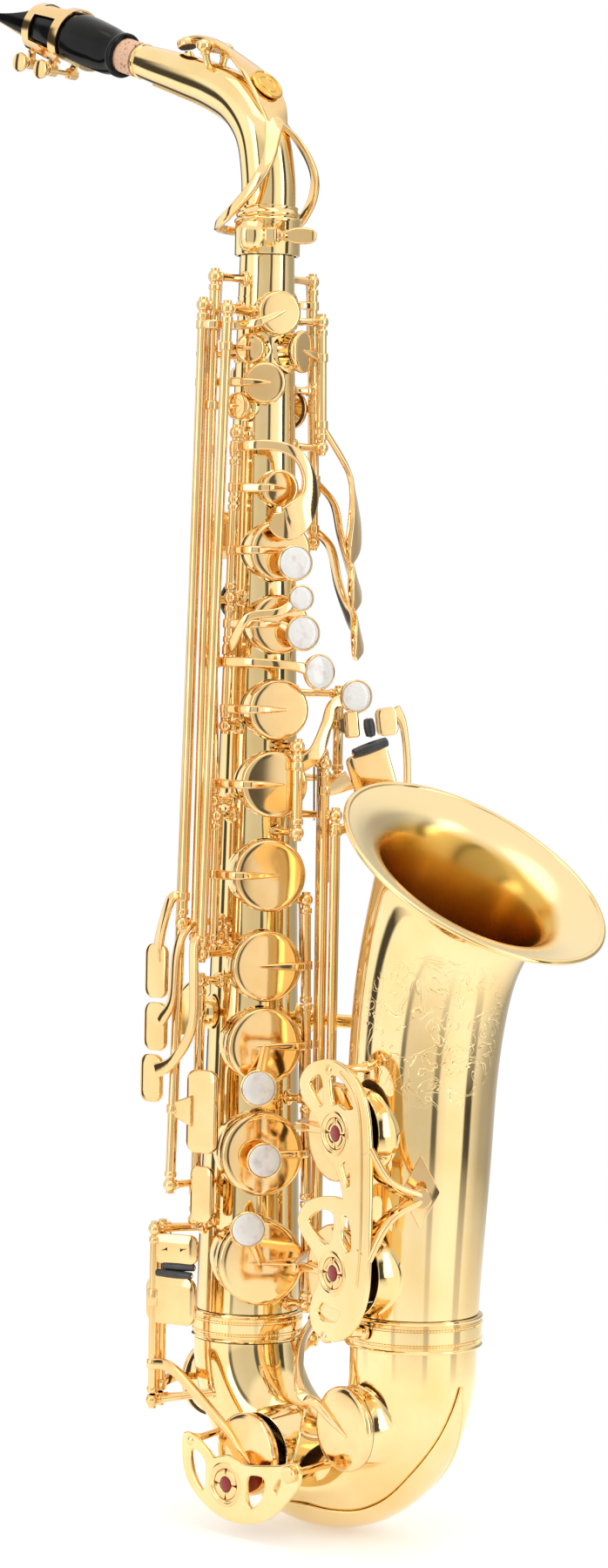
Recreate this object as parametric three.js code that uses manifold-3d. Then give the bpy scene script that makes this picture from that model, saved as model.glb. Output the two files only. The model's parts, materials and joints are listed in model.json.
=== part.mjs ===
// Alto saxophone: body tube, bow, bell, neck, mouthpiece and keywork, in millimetres, +Z up.
// The body tube's axis is the working Z axis while the pieces are made. +X is the side the bell
// faces and -Y is the player's right. The finished group is centred on its footprint at the end.
import * as THREE from 'three';
import { mergeVertices } from 'three/addons/utils/BufferGeometryUtils.js';
import Module from 'manifold-3d';

const wasm = await Module();
wasm.setup();

// ---------------------------------------------------------------- driving dimensions
const GAP = 0.3;
const TUBE_TOP_Z = 566.7;
const TUBE_BOTTOM_Z = 94.3;
const TUBE_R_REF = 12.4;
const TUBE_REF_Z = 560;
const TUBE_TAPER = 0.0236;
const WALL = 1.4;

const RING_TOP_Z = 94;
const RING_BOTTOM_Z = 81.3;
const BELL_RING_TOP_Z = 105.4;
const BELL_RING_BOTTOM_Z = 91.3;
const BODY_RING_R = 25.4;
const BELL_RING_R = 30.2;
const BOW_SPAN = 100;
const BOW_BEND_R = 50;
const BOW_DEPTH = 52;
const BOW_R_BODY = 24.2;
const BOW_R_MIDDLE = 25.4;
const BOW_R_BELL = 27.8;

const BELL_STATIONS = [
  { x: 100, z: 105.7, r: 28.2, lean: 0 },
  { x: 100.2, z: 130, r: 29.3, lean: 1 },
  { x: 101, z: 170, r: 31.2, lean: 3 },
  { x: 102, z: 203, r: 32.2, lean: 6.5 },
  { x: 103.8, z: 225, r: 32.9, lean: 10 },
  { x: 106.4, z: 243, r: 33.6, lean: 15 },
  { x: 109.8, z: 258, r: 34.4, lean: 20 },
  { x: 113.8, z: 270, r: 35.6, lean: 25 },
  { x: 117.8, z: 279.5, r: 37.2, lean: 29 },
  { x: 121.4, z: 286.4, r: 39.2, lean: 32 },
  { x: 124.3, z: 290.6, r: 42, lean: 35 },
  { x: 126.3, z: 293.5, r: 45.5, lean: 35 },
  { x: 127.8, z: 295.5, r: 50, lean: 35 },
  { x: 128.8, z: 296.9, r: 55.5, lean: 35 },
  { x: 129.5, z: 298, r: 61.8, lean: 35 },
];
const FLARE_STATIONS = 5;
const FLARE_LIFT = 1;

const RECEIVER_BOTTOM_Z = 567;
const RECEIVER_TOP_Z = 583.4;
const RECEIVER_R = 14.6;
const RECEIVER_BORE_R = 13.1;
const LUG_AZ = 43;
const LUG_Z = 574.5;

const NECK_LINE = [
  [0, 568.5, 12.2], [0, 584.5, 12.2], [-0.4, 603, 12.1], [-5, 622, 11.8], [-16.5, 636, 11.2],
  [-33, 645, 10.3], [-53, 652, 9.3], [-73, 658.3, 8.2], [-83, 661.4, 7.4],
];
const MOUTH_TIP = [-177.9, 691.1];
const MOUTH_SHANK = [-93, 664.3];
const CORK_R = 8;
const CORK_BORE_R = 6.2;
const MOUTH_BORE_R = 8.3;
const MOUTH_PROFILE = [[0, 7.8], [30, 10.6], [45, 12.3], [60, 12.8], [75, 11.5], [89, 9.7]];

const ROD_R = 2.1;
const BALL_R = 3.1;
const POST_R = 2.2;
const CHIMNEY_HEIGHT = 4;
const CHIMNEY_WALL = 1.2;
const CUP_THICKNESS = 4.4;
const CUP_OVERHANG = 1.6;
const SEAT_GAP = 0.3;
const ARM_THICKNESS = 2.4;
const ROUND = 6;
const CUP_SEGMENTS = 8;
const TUBE_SEGMENTS = 12;
const BELL_SEGMENTS = 16;

// ---------------------------------------------------------------- materials
const lacquer = new THREE.MeshStandardMaterial({ color: 0xe9c98a, roughness: 0.14, metalness: 1 });
const ebonite = new THREE.MeshStandardMaterial({ color: 0x0b0c10, roughness: 0.12, metalness: 0 });
const cork = new THREE.MeshStandardMaterial({ color: 0xd3a07c, roughness: 0.9, metalness: 0 });
const cane = new THREE.MeshStandardMaterial({ color: 0xdcc48c, roughness: 0.6, metalness: 0 });
const pearl = new THREE.MeshStandardMaterial({ color: 0xe9e5ea, roughness: 0.2, metalness: 0 });

// ---------------------------------------------------------------- solids from three.js geometry
const rad = THREE.MathUtils.degToRad;
const vec = (x, y, z) => new THREE.Vector3(x, y, z);

// A point at radius r and angle az round a vertical axis at x = cx (az 0 is -Y, az 90 is +X).
const polar = (r, az, z, cx = 0) => vec(cx + r * Math.sin(rad(az)), -r * Math.cos(rad(az)), z);

const tubeR = (z) => TUBE_R_REF + TUBE_TAPER * (TUBE_REF_Z - z);

function toSolid(geometry) {
  let plain = geometry.clone();
  plain.deleteAttribute('normal');
  plain.deleteAttribute('uv');
  plain = mergeVertices(plain, 1e-4);
  return new wasm.Manifold(new wasm.Mesh({
    numProp: 3,
    vertProperties: Float32Array.from(plain.attributes.position.array),
    triVerts: Uint32Array.from(plain.index.array),
  }));
}

function toGeometry(solid) {
  const mesh = solid.getMesh();
  const geometry = new THREE.BufferGeometry();
  const corners = Float32Array.from(mesh.vertProperties);
  geometry.setAttribute('position', new THREE.BufferAttribute(corners, 3));
  geometry.setIndex(new THREE.BufferAttribute(Uint32Array.from(mesh.triVerts), 1));
  geometry.computeVertexNormals();
  return geometry;
}

function join(solids) {
  return solids.reduce((sum, next) => sum.add(next));
}

function cut(solid, tools) {
  return tools.reduce((left, tool) => left.subtract(tool), solid);
}

// Turns a geometry built along +Z so that it runs along the given direction from a point.
function place(geometry, origin, direction, roll = 0) {
  const turn = new THREE.Quaternion().setFromUnitVectors(vec(0, 0, 1), direction.clone().normalize());
  const spin = new THREE.Quaternion().setFromAxisAngle(vec(0, 0, 1), rad(roll));
  geometry.applyQuaternion(turn.multiply(spin));
  geometry.translate(origin.x, origin.y, origin.z);
  return geometry;
}

// A round bar from a to b whose radius goes from ra to rb.
function bar(a, b, ra, rb = ra, segments = ROUND) {
  const length = a.distanceTo(b);
  const geometry = new THREE.CylinderGeometry(rb, ra, length, segments);
  geometry.rotateX(Math.PI / 2);
  geometry.translate(0, 0, length / 2);
  return toSolid(place(geometry, a, b.clone().sub(a)));
}

// A disc whose lower face is centred on base and whose thickness runs along the normal.
function disc(base, normal, radius, thickness, segments = CUP_SEGMENTS) {
  return bar(base, base.clone().addScaledVector(normal, thickness), radius, radius, segments);
}

// A flat-sided strip through a list of points; each point may state its own width.
function strip(points, widths, normals, thickness = ARM_THICKNESS) {
  const solids = [];
  for (let i = 0; i + 1 < points.length; i += 1) {
    const along = points[i + 1].clone().sub(points[i]).normalize();
    const a = points[i].clone().addScaledVector(along, i === 0 ? 0 : -0.45 * thickness);
    const b = points[i + 1].clone().addScaledVector(along, 0.45 * thickness);
    const corners = [];
    for (const [end, k] of [[a, i], [b, i + 1]]) {
      const up = normals[k].clone().addScaledVector(along, -normals[k].dot(along)).normalize();
      const side = along.clone().cross(up);
      for (const [s, t] of [[-1, -1], [1, -1], [1, 1], [-1, 1]]) {
        const across = side.clone().multiplyScalar(s * widths[k] / 2);
        corners.push(end.clone().add(across).addScaledVector(up, t * thickness / 2));
      }
    }
    const geometry = new THREE.BufferGeometry().setFromPoints(corners);
    geometry.setIndex([
      0, 2, 1, 0, 3, 2, 4, 5, 6, 4, 6, 7, 0, 1, 5, 0, 5, 4,
      1, 2, 6, 1, 6, 5, 2, 3, 7, 2, 7, 6, 3, 0, 4, 3, 4, 7,
    ]);
    const solid = toSolid(geometry);
    solids.push(solid.volume() > 0 ? solid : toSolid(flipped(geometry)));
  }
  return join(solids);
}

function flipped(geometry) {
  const index = Array.from(geometry.index.array);
  for (let i = 0; i < index.length; i += 3) {
    [index[i + 1], index[i + 2]] = [index[i + 2], index[i + 1]];
  }
  const copy = geometry.clone();
  copy.setIndex(index);
  return copy;
}

// A plate of the given outline; u runs across, v runs along, and its middle sits on the centre.
function plate(outline, centre, u, v, thickness, holes = []) {
  const shape = new THREE.Shape(outline.map(([x, y]) => new THREE.Vector2(x, y)));
  for (const hole of holes) {
    shape.holes.push(new THREE.Path(hole.map(([x, y]) => new THREE.Vector2(x, y))));
  }
  const geometry = new THREE.ExtrudeGeometry(shape, { depth: thickness, bevelEnabled: false });
  geometry.translate(0, 0, -thickness / 2);
  const across = u.clone().normalize();
  const normal = across.clone().cross(v).normalize();
  const along = normal.clone().cross(across);
  geometry.applyMatrix4(new THREE.Matrix4().makeBasis(across, along, normal).setPosition(centre));
  return toSolid(geometry);
}

function rounded(width, height, radius, steps = 2) {
  const points = [];
  for (const [sx, sy, start] of [[1, 1, 0], [-1, 1, 90], [-1, -1, 180], [1, -1, 270]]) {
    for (let i = 0; i <= steps; i += 1) {
      const a = rad(start + 90 * i / steps);
      points.push([
        sx * (width / 2 - radius) + radius * Math.cos(a), sy * (height / 2 - radius) + radius * Math.sin(a),
      ]);
    }
  }
  return points;
}

function circlePoints(cx, cy, radius, count) {
  return Array.from({ length: count }, (_, i) => [
    cx + radius * Math.cos(2 * Math.PI * i / count), cy + radius * Math.sin(2 * Math.PI * i / count),
  ]);
}

// A solid swept through round stations {c, n, r}: c is the centre, n the way the tube runs.
function swept(stations, segments, side = vec(0, 1, 0)) {
  const points = [];
  for (const { c, n, r } of stations) {
    const u = side.clone().addScaledVector(n, -side.dot(n)).normalize();
    const w = n.clone().cross(u).normalize();
    for (let i = 0; i < segments; i += 1) {
      const a = 2 * Math.PI * i / segments;
      points.push(c.clone().addScaledVector(u, r * Math.cos(a)).addScaledVector(w, r * Math.sin(a)));
    }
  }
  const index = [];
  for (let k = 0; k + 1 < stations.length; k += 1) {
    for (let i = 0; i < segments; i += 1) {
      const j = (i + 1) % segments;
      const [p, q] = [k * segments + i, k * segments + j];
      index.push(p, q, q + segments, p, q + segments, p + segments);
    }
  }
  const first = points.push(stations[0].c.clone()) - 1;
  const last = points.push(stations[stations.length - 1].c.clone()) - 1;
  const top = (stations.length - 1) * segments;
  for (let i = 0; i < segments; i += 1) {
    const j = (i + 1) % segments;
    index.push(first, j, i, last, top + i, top + j);
  }
  const geometry = new THREE.BufferGeometry().setFromPoints(points);
  geometry.setIndex(index);
  return toSolid(geometry);
}

const column = (profile, cx = 0) => profile.map(([z, r]) => ({ c: vec(cx, 0, z), n: vec(0, 0, 1), r }));

// ---------------------------------------------------------------- assembly list
const horn = new THREE.Group();
horn.name = 'alto_saxophone';

function add(name, solid, material, hinge) {
  const mesh = new THREE.Mesh(toGeometry(solid.simplify(0.02)), material);
  mesh.name = name;
  if (hinge) mesh.userData.hinge = hinge;
  horn.add(mesh);
  return mesh;
}

// ---------------------------------------------------------------- tone holes
const TONE_HOLES = {
  high_e: { z: 540.5, az: 62, r: 8.2 },
  high_f_sharp: { z: 509.4, az: 44, r: 7.6 },
  c_vent: { z: 462.7, az: 66, r: 6.6 },
  b: { z: 435, az: 66, r: 12 },
  a: { z: 402.4, az: 66, r: 11.6 },
  bis: { z: 364.6, az: 66, r: 11.9 },
  g: { z: 331.4, az: 63, r: 13.2 },
  g_sharp: { z: 291, az: 58, r: 14.6 },
  f_sharp: { z: 250.8, az: 54, r: 14.2 },
  f: { z: 215.4, az: 53, r: 15.4 },
  e: { z: 167.5, az: 52, r: 17 },
  d: { z: 119.4, az: 52, r: 17.6 },
  side_c: { z: 499, az: 8, r: 4.6 },
  side_bb: { z: 524.5, az: 23, r: 5.2 },
  palm_d: { z: 524, az: 102, r: 7.8 },
  palm_eb: { z: 500, az: 190, r: 8 },
  palm_f: { z: 547, az: 205, r: 7.2 },
  octave: { z: 515, az: 262, r: 2.2 },
  trill: { z: 228, az: -34, r: 6.4 },
};

for (const hole of Object.values(TONE_HOLES)) {
  hole.normal = polar(1, hole.az, 0);
  hole.seat = tubeR(hole.z) + CHIMNEY_HEIGHT;
  hole.axis = vec(0, 0, hole.z);
}

// The low notes' holes stand on the bow and the bell.
const bellHole = (z, cx, r, seat, radius, az) => ({
  z, az, r: radius, normal: polar(1, az, 0), seat, axis: vec(cx, 0, z), wall: r,
});
TONE_HOLES.low_b = bellHole(185.9, 101, 32, 35.6, 17.6, -11);
TONE_HOLES.low_bb = bellHole(124.8, 100.2, 29.3, 33.6, 18, -11);
TONE_HOLES.low_c_sharp = bellHole(57, 97, 27.5, 31.5, 16.8, -10);
TONE_HOLES.low_c = bellHole(38, 35, 25.2, 29.5, 16.6, 2);
TONE_HOLES.low_eb = bellHole(58, 5.5, 24.2, 28.6, 16.4, -100);

function chimney(hole) {
  const foot = (hole.wall ?? tubeR(hole.z)) * 0.45;
  const a = hole.axis.clone().addScaledVector(hole.normal, foot);
  const b = hole.axis.clone().addScaledVector(hole.normal, hole.seat);
  return bar(a, b, hole.r + CHIMNEY_WALL / 2, hole.r + CHIMNEY_WALL / 2, CUP_SEGMENTS);
}

const onSeat = (hole, out) => hole.axis.clone().addScaledVector(hole.normal, hole.seat + out);

function holeBore(hole) {
  const a = hole.axis.clone().addScaledVector(hole.normal, 2);
  const b = hole.axis.clone().addScaledVector(hole.normal, hole.seat + 1);
  return bar(a, b, hole.r - CHIMNEY_WALL / 2, hole.r - CHIMNEY_WALL / 2, CUP_SEGMENTS);
}

// ---------------------------------------------------------------- key rods and posts
// Each rod is the straight line between two posts; a key's tube turns about it.
const rodLine = (r0, az0, z0, r1, az1, z1) => ({ a: polar(r0, az0, z0), b: polar(r1, az1, z1) });
const RODS = {
  upper: rodLine(tubeR(487) + 9, 12, 487, tubeR(357) + 9, 10, 357),
  g: rodLine(27, -10, 413, 27.5, 0, 323.5),
  g_sharp: rodLine(27.6, 4, 317, 29, 4, 258),
  lower: rodLine(tubeR(280) + 10, 95, 280, tubeR(97) + 10, 95, 99),
  side_e: rodLine(34.5, -10, 543, 41, -8, 269.4),
  side_c: rodLine(28.8, -9, 556, 36.5, -2, 263),
  side_bb: rodLine(33, 12.6, 541, 40, 8, 256),
  high_f_sharp: rodLine(30, -24, 522, 43, -12, 152),
  trill: rodLine(30, -8, 243, 31, -8, 136),
  low_c: rodLine(46, -22, 131.4, 46, -22, 54.5),
  low_eb: rodLine(40.5, -29, 131.4, 40.5, -29, 54.5),
  g_sharp_touch: rodLine(36, 73, 348.6, 36.6, 73, 310.5),
  low_c_sharp: rodLine(30, 117, 345, 31.5, 117, 82),
  low_bb: rodLine(35.5, 101, 341, 36.5, 100, 112),
  low_b: rodLine(41.2, 102, 318, 42, 101, 172),
  low_c_sharp_touch: rodLine(36, 128, 372, 36, 128, 334),
  palm_d: rodLine(25, 128, 538, 26, 128, 482),
  palm_eb: rodLine(25.5, 163, 508, 26.5, 163, 462),
  palm_f: rodLine(30, 180, 558, 32.5, 178, 440),
  body_octave: rodLine(24, 236, 548, 25, 236, 450),
  thumb_octave: rodLine(25, 240, 434, 25, 284, 434),
};

function onRod(rod, z) {
  const t = (z - rod.a.z) / (rod.b.z - rod.a.z);
  return rod.a.clone().lerp(rod.b, t);
}

// A post from the tube to a rod; it stands at rootAz and reaches over to the rod when that differs.
function rodPost(point, rootAz) {
  const reach = Math.hypot(point.x, point.y);
  const az = rootAz ?? THREE.MathUtils.radToDeg(Math.atan2(point.x, -point.y));
  const root = polar(tubeR(point.z) - WALL * 1.4, az, point.z);
  const head = polar(reach + BALL_R * 0.6, az, point.z);
  const post = bar(root, head, POST_R, POST_R, 4);
  if (rootAz === undefined) return post;
  return join([post, bar(polar(reach, az, point.z), point, POST_R * 0.9, POST_R * 0.9, 4)]);
}

const BODY_POSTS = [
  [RODS.upper, [487], [414], [357]], [RODS.g, [413], [323.5]], [RODS.g_sharp, [317], [258]],
  [RODS.lower, [280], [191], [99]], [RODS.side_e, [543, -19], [269.4, -8.8]],
  [RODS.side_c, [556], [263, -5]], [RODS.side_bb, [541], [256]],
  [RODS.high_f_sharp, [522], [152, -22]], [RODS.trill, [243], [136]],
  [RODS.low_c, [131.4]], [RODS.low_eb, [131.4]], [RODS.g_sharp_touch, [348.6], [310.5]],
  [RODS.low_c_sharp, [345]], [RODS.low_bb, [341], [112, 104.5]], [RODS.low_b, [318, 108.5], [172, 108]],
  [RODS.low_c_sharp_touch, [372], [334]], [RODS.palm_d, [538], [482]],
  [RODS.palm_eb, [508], [462]], [RODS.palm_f, [558], [440]], [RODS.body_octave, [548], [450]],
];

// ---------------------------------------------------------------- body tube
const bodyHoles = Object.values(TONE_HOLES).filter((hole) => !hole.wall);
const bodyOuter = swept(column([
  [TUBE_BOTTOM_Z, tubeR(TUBE_BOTTOM_Z)], [TUBE_TOP_Z, tubeR(TUBE_TOP_Z)],
]), TUBE_SEGMENTS);
const bodyBore = swept(column([
  [TUBE_BOTTOM_Z - 1, tubeR(TUBE_BOTTOM_Z) - WALL], [TUBE_TOP_Z + 1, tubeR(TUBE_TOP_Z) - WALL],
]), TUBE_SEGMENTS);
const bodyPosts = BODY_POSTS.flatMap(([rod, ...posts]) => (
  posts.map(([z, rootAz]) => rodPost(onRod(rod, z), rootAz))
));
bodyPosts.push(rodPost(RODS.thumb_octave.a), rodPost(RODS.thumb_octave.b));
add('body_tube', cut(
  join([bodyOuter, ...bodyHoles.map(chimney), ...bodyPosts]),
  [bodyBore, ...bodyHoles.map(holeBore)],
), lacquer);

// ---------------------------------------------------------------- receiver, bow and bell
function sleeve(cx, z0, z1, outer, inner) {
  return cut(
    swept(column([[z0, outer], [z1, outer]], cx), TUBE_SEGMENTS),
    [swept(column([[z0 - 1, inner], [z1 + 1, inner]], cx), TUBE_SEGMENTS)],
  );
}

const lugN = polar(1, LUG_AZ, 0);
const lugT = polar(1, LUG_AZ + 90, 0);
const lugPoint = (t, n) => vec(0, 0, LUG_Z).addScaledVector(lugT, t).addScaledVector(lugN, n);
const LUG_OUT = 18.6;
const receiver = cut(join([
  swept(column([[RECEIVER_BOTTOM_Z, RECEIVER_R], [RECEIVER_TOP_Z, RECEIVER_R]]), TUBE_SEGMENTS),
  bar(lugPoint(-12.5, LUG_OUT), lugPoint(-2, LUG_OUT), 4.6, 4.6, 8),
  bar(lugPoint(-1, LUG_OUT), lugPoint(4, LUG_OUT), 4.2, 4.2, 8),
  strip([lugPoint(-7, 12), lugPoint(-7, LUG_OUT)], [9, 9], [lugT, lugT], 9),
  strip([lugPoint(1.5, 12), lugPoint(1.5, LUG_OUT)], [8, 8], [lugT, lugT], 5),
]), [
  swept(column([
    [RECEIVER_BOTTOM_Z - 1, RECEIVER_BORE_R], [RECEIVER_TOP_Z + 1, RECEIVER_BORE_R],
  ]), TUBE_SEGMENTS),
  bar(lugPoint(-14, LUG_OUT), lugPoint(6, LUG_OUT), 2.4, 2.4, 8),
  strip([lugPoint(-1.5, 8), lugPoint(-1.5, 26)], [20, 20], [lugT, lugT], 1),
]);
add('neck_receiver', receiver, lacquer);

add('body_bow_ring', sleeve(0, RING_BOTTOM_Z, RING_TOP_Z, BODY_RING_R, tubeR(RING_TOP_Z) - WALL), lacquer);
const bellRing = sleeve(BOW_SPAN, BELL_RING_BOTTOM_Z, BELL_RING_TOP_Z, BELL_RING_R, BOW_R_BELL - WALL);
add('bell_bow_ring', bellRing, lacquer);

function bowStations(shrink, overrun) {
  const steps = 8;
  const stations = [];
  for (let i = 0; i <= steps; i += 1) {
    const a = Math.PI * i / steps;
    const t = i / steps;
    const ends = BOW_R_BODY * (1 - t) * (1 - 2 * t) + BOW_R_BELL * t * (2 * t - 1);
    const r = ends + BOW_R_MIDDLE * 4 * t * (1 - t);
    stations.push({
      c: vec(BOW_SPAN / 2 - BOW_BEND_R * Math.cos(a), 0, RING_BOTTOM_Z - BOW_DEPTH * Math.sin(a)),
      n: vec(BOW_BEND_R * Math.sin(a), 0, -BOW_DEPTH * Math.cos(a)).normalize(),
      r: r - shrink,
    });
  }
  const endShift = overrun ? 1 : -GAP;
  const last = stations[steps];
  stations[0].c.z += endShift;
  stations.push({ c: vec(BOW_SPAN, 0, BELL_RING_BOTTOM_Z + endShift), n: last.n, r: last.r });
  return stations;
}
const bowHoles = [TONE_HOLES.low_c, TONE_HOLES.low_c_sharp, TONE_HOLES.low_eb];
const BOW_POST_ROOT = vec(2, -22, 58);
const C_SHARP_POST_ROOT = vec(22, 4, 70);
const pinkyPosts = [
  bar(BOW_POST_ROOT, RODS.low_c.b, POST_R, POST_R, 4),
  bar(BOW_POST_ROOT, RODS.low_eb.b, POST_R, POST_R, 4),
  bar(C_SHARP_POST_ROOT, RODS.low_c_sharp.b, POST_R, POST_R, 4),
];
const bowBody = cut(join([
  swept(bowStations(0, false), BELL_SEGMENTS),
  ...bowHoles.map(chimney),
  ...pinkyPosts,
]), [swept(bowStations(WALL, true), BELL_SEGMENTS), ...bowHoles.map(holeBore)]);
add('bow', bowBody, lacquer);

const bellStation = ({ x, z, r, lean }, shrink) => ({
  c: vec(x, 0, z), n: vec(Math.sin(rad(lean)), 0, Math.cos(rad(lean))), r: r - shrink,
});
const bellInner = BELL_STATIONS.map((s) => bellStation(s, WALL));
bellInner[0].c.z -= 1;
bellInner.slice(-FLARE_STATIONS).forEach(({ c, n }) => c.addScaledVector(n, FLARE_LIFT));
const rimLast = bellInner[bellInner.length - 1];
bellInner.push({ c: rimLast.c.clone().addScaledVector(rimLast.n, 3), n: rimLast.n, r: rimLast.r + 2 });
const bellHoles = [TONE_HOLES.low_b, TONE_HOLES.low_bb];
const rimStation = bellStation(BELL_STATIONS[BELL_STATIONS.length - 1], 0);
const rimRoll = swept([
  { c: rimStation.c.clone().addScaledVector(rimStation.n, -1.4), n: rimStation.n, r: rimStation.r - 0.6 },
  { c: rimStation.c.clone().addScaledVector(rimStation.n, -0.2), n: rimStation.n, r: rimStation.r + 0.5 },
  { c: rimStation.c.clone().addScaledVector(rimStation.n, 1.2), n: rimStation.n, r: rimStation.r + 0.2 },
], BELL_SEGMENTS);
const bellOuter = swept(BELL_STATIONS.map((s) => bellStation(s, 0)), BELL_SEGMENTS);
add('bell', cut(
  join([bellOuter, rimRoll, ...bellHoles.map(chimney)]),
  [swept(bellInner, BELL_SEGMENTS), ...bellHoles.map(holeBore)],
), lacquer);

// ---------------------------------------------------------------- shells that other pieces keep clear of
const bodyClear = swept(column([
  [TUBE_BOTTOM_Z - 10, tubeR(TUBE_BOTTOM_Z) + GAP], [TUBE_TOP_Z, tubeR(TUBE_TOP_Z) + GAP],
]), TUBE_SEGMENTS);
const bellClear = swept(BELL_STATIONS.map((s) => bellStation(s, -GAP * 1.6)), BELL_SEGMENTS);
const bowClear = swept(bowStations(-GAP, false), BELL_SEGMENTS);
const chimneyClear = (hole) => bar(hole.axis, onSeat(hole, 8), hole.r + 2.4, hole.r + 2.4, 12);
const bellRingClear = bar(
  vec(BOW_SPAN, 0, BELL_RING_BOTTOM_Z - GAP), vec(BOW_SPAN, 0, BELL_RING_TOP_Z + GAP),
  BELL_RING_R + GAP, BELL_RING_R + GAP, TUBE_SEGMENTS,
);

// ---------------------------------------------------------------- brace, guards and small fittings
const braceLow = vec(4, 18, 225);
const braceHigh = vec(94, 28, 225);
add('bell_brace', join([
  bar(braceLow, braceHigh, 3.4, 3.4, 8),
  strip([vec(9, 18, 225), vec(14, 19, 225)], [22, 22], [vec(0, 1, 0), vec(0, 1, 0)], 7),
]).subtract(bodyClear).subtract(bellClear), lacquer);

const GUARD_RHO = 50.5;
const GUARD_AZ = -11;
const GUARD_THICKNESS = 2;
const guardN = polar(1, GUARD_AZ, 0);
const guardT = polar(1, GUARD_AZ + 90, 0);
const guardPoint = (t, z, rho = GUARD_RHO) => (
  vec(BOW_SPAN, 0, z).addScaledVector(guardN, rho).addScaledVector(guardT, t)
);
const guardOutline = rounded(48, 117, 12, 2);
const guardHoles = [
  circlePoints(-4, 26.4, 8.2, 10),
  circlePoints(-4, -34.7, 8.2, 10),
  rounded(26, 26, 5, 1).map(([x, y]) => [x - 2, y - 4]),
].map((hole) => hole.reverse());
const guardLeg = (t, z, inner) => strip(
  [guardPoint(t, z), guardPoint(inner, z, 24)], [8, 8], [vec(0, 0, 1), vec(0, 0, 1)], GUARD_THICKNESS,
);
add('bell_key_guard', join([
  plate(guardOutline, guardPoint(4, 159.5), guardT, vec(0, 0, 1), GUARD_THICKNESS, guardHoles),
  guardLeg(4, 216.5, 4), guardLeg(26, 163, 18), guardLeg(4, 102.5, 4),
]).subtract(bellClear).subtract(bellRingClear), lacquer);

const LOW_C_GUARD_Y = -46.5;
const lowCGuardPath = [
  [-4, 41], [6, 28], [18, 19.5], [33, 16.5], [48, 18], [61, 25], [73, 36],
].map(([x, z]) => vec(x, LOW_C_GUARD_Y, z));
const facing = vec(0, -1, 0);
add('low_c_guard', join([
  strip(lowCGuardPath, lowCGuardPath.map(() => 5), lowCGuardPath.map(() => facing), 2),
  disc(vec(33, LOW_C_GUARD_Y - 1, 25.5), facing, 9, 2),
  bar(lowCGuardPath[0], vec(4, -8, 46), 2.4, 2.4, 6),
  bar(lowCGuardPath[6], vec(78, -6, 46), 2.4, 2.4, 6),
]).subtract(bowClear).subtract(bellClear), lacquer);

const guardShell = bowStations(-1.2, false).slice(3, 8);
const guardVoid = bowStations(-GAP, false).slice(2, 9);
add('bow_guard', swept(guardShell, BELL_SEGMENTS)
  .subtract(swept(guardVoid, BELL_SEGMENTS))
  .subtract(bar(vec(BOW_SPAN / 2, -60, RING_BOTTOM_Z), vec(BOW_SPAN / 2, 60, RING_BOTTOM_Z), 64, 64, 24))
  .subtract(chimneyClear(TONE_HOLES.low_c_sharp)), lacquer);

const BACK_AZ = 262;
const backN = polar(1, BACK_AZ, 0);
const backT = polar(1, BACK_AZ + 90, 0);
const up = vec(0, 0, 1);
const backPoint = (z, out, side = 0) => (
  vec(0, 0, z).addScaledVector(backN, tubeR(z) + out).addScaledVector(backT, side)
);
add('strap_ring', plate(
  circlePoints(0, 0, 10, 12), backPoint(330, 11.4), backN, up, 3.4, [circlePoints(1, 0, 6.2, 10).reverse()],
).add(strip([backPoint(318, 2), backPoint(342, 2)], [10, 10], [backN, backN], 2)), lacquer);
add('thumb_hook', join([
  strip([backPoint(210, 1.4), backPoint(240, 1.2)], [13, 13], [backN, backN], 2),
  strip([backPoint(236, 1), backPoint(238, 16), backPoint(228, 25), backPoint(214, 26)],
    [16, 18, 18, 15], [up, up, backN, backN], 2.6),
]), lacquer);
add('thumb_rest', disc(backPoint(413, 0.6), backN, 9, 3.6, 12), ebonite);

// ---------------------------------------------------------------- neck, cork and mouthpiece
function lineStations(line, shrink) {
  return line.map(([x, z, r], i) => {
    const [ax, az] = line[Math.max(i - 1, 0)];
    const [bx, bz] = line[Math.min(i + 1, line.length - 1)];
    return { c: vec(x, 0, z), n: vec(bx - ax, 0, bz - az).normalize(), r: r - shrink };
  });
}
const neckEnd = vec(NECK_LINE[8][0], 0, NECK_LINE[8][1]);
const mouthTip = vec(MOUTH_TIP[0], 0, MOUTH_TIP[1]);
const mouthShank = vec(MOUTH_SHANK[0], 0, MOUTH_SHANK[1]);
const mouthAxis = mouthShank.clone().sub(mouthTip).normalize();
const mouthUp = vec(-mouthAxis.z, 0, mouthAxis.x);
const onMouth = (s, h = 0, y = 0) => (
  mouthTip.clone().addScaledVector(mouthAxis, s).addScaledVector(mouthUp, h).add(vec(0, y, 0))
);
const mouthLength = mouthTip.distanceTo(mouthShank);
const corkEnd = onMouth(mouthLength - 24);

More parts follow.
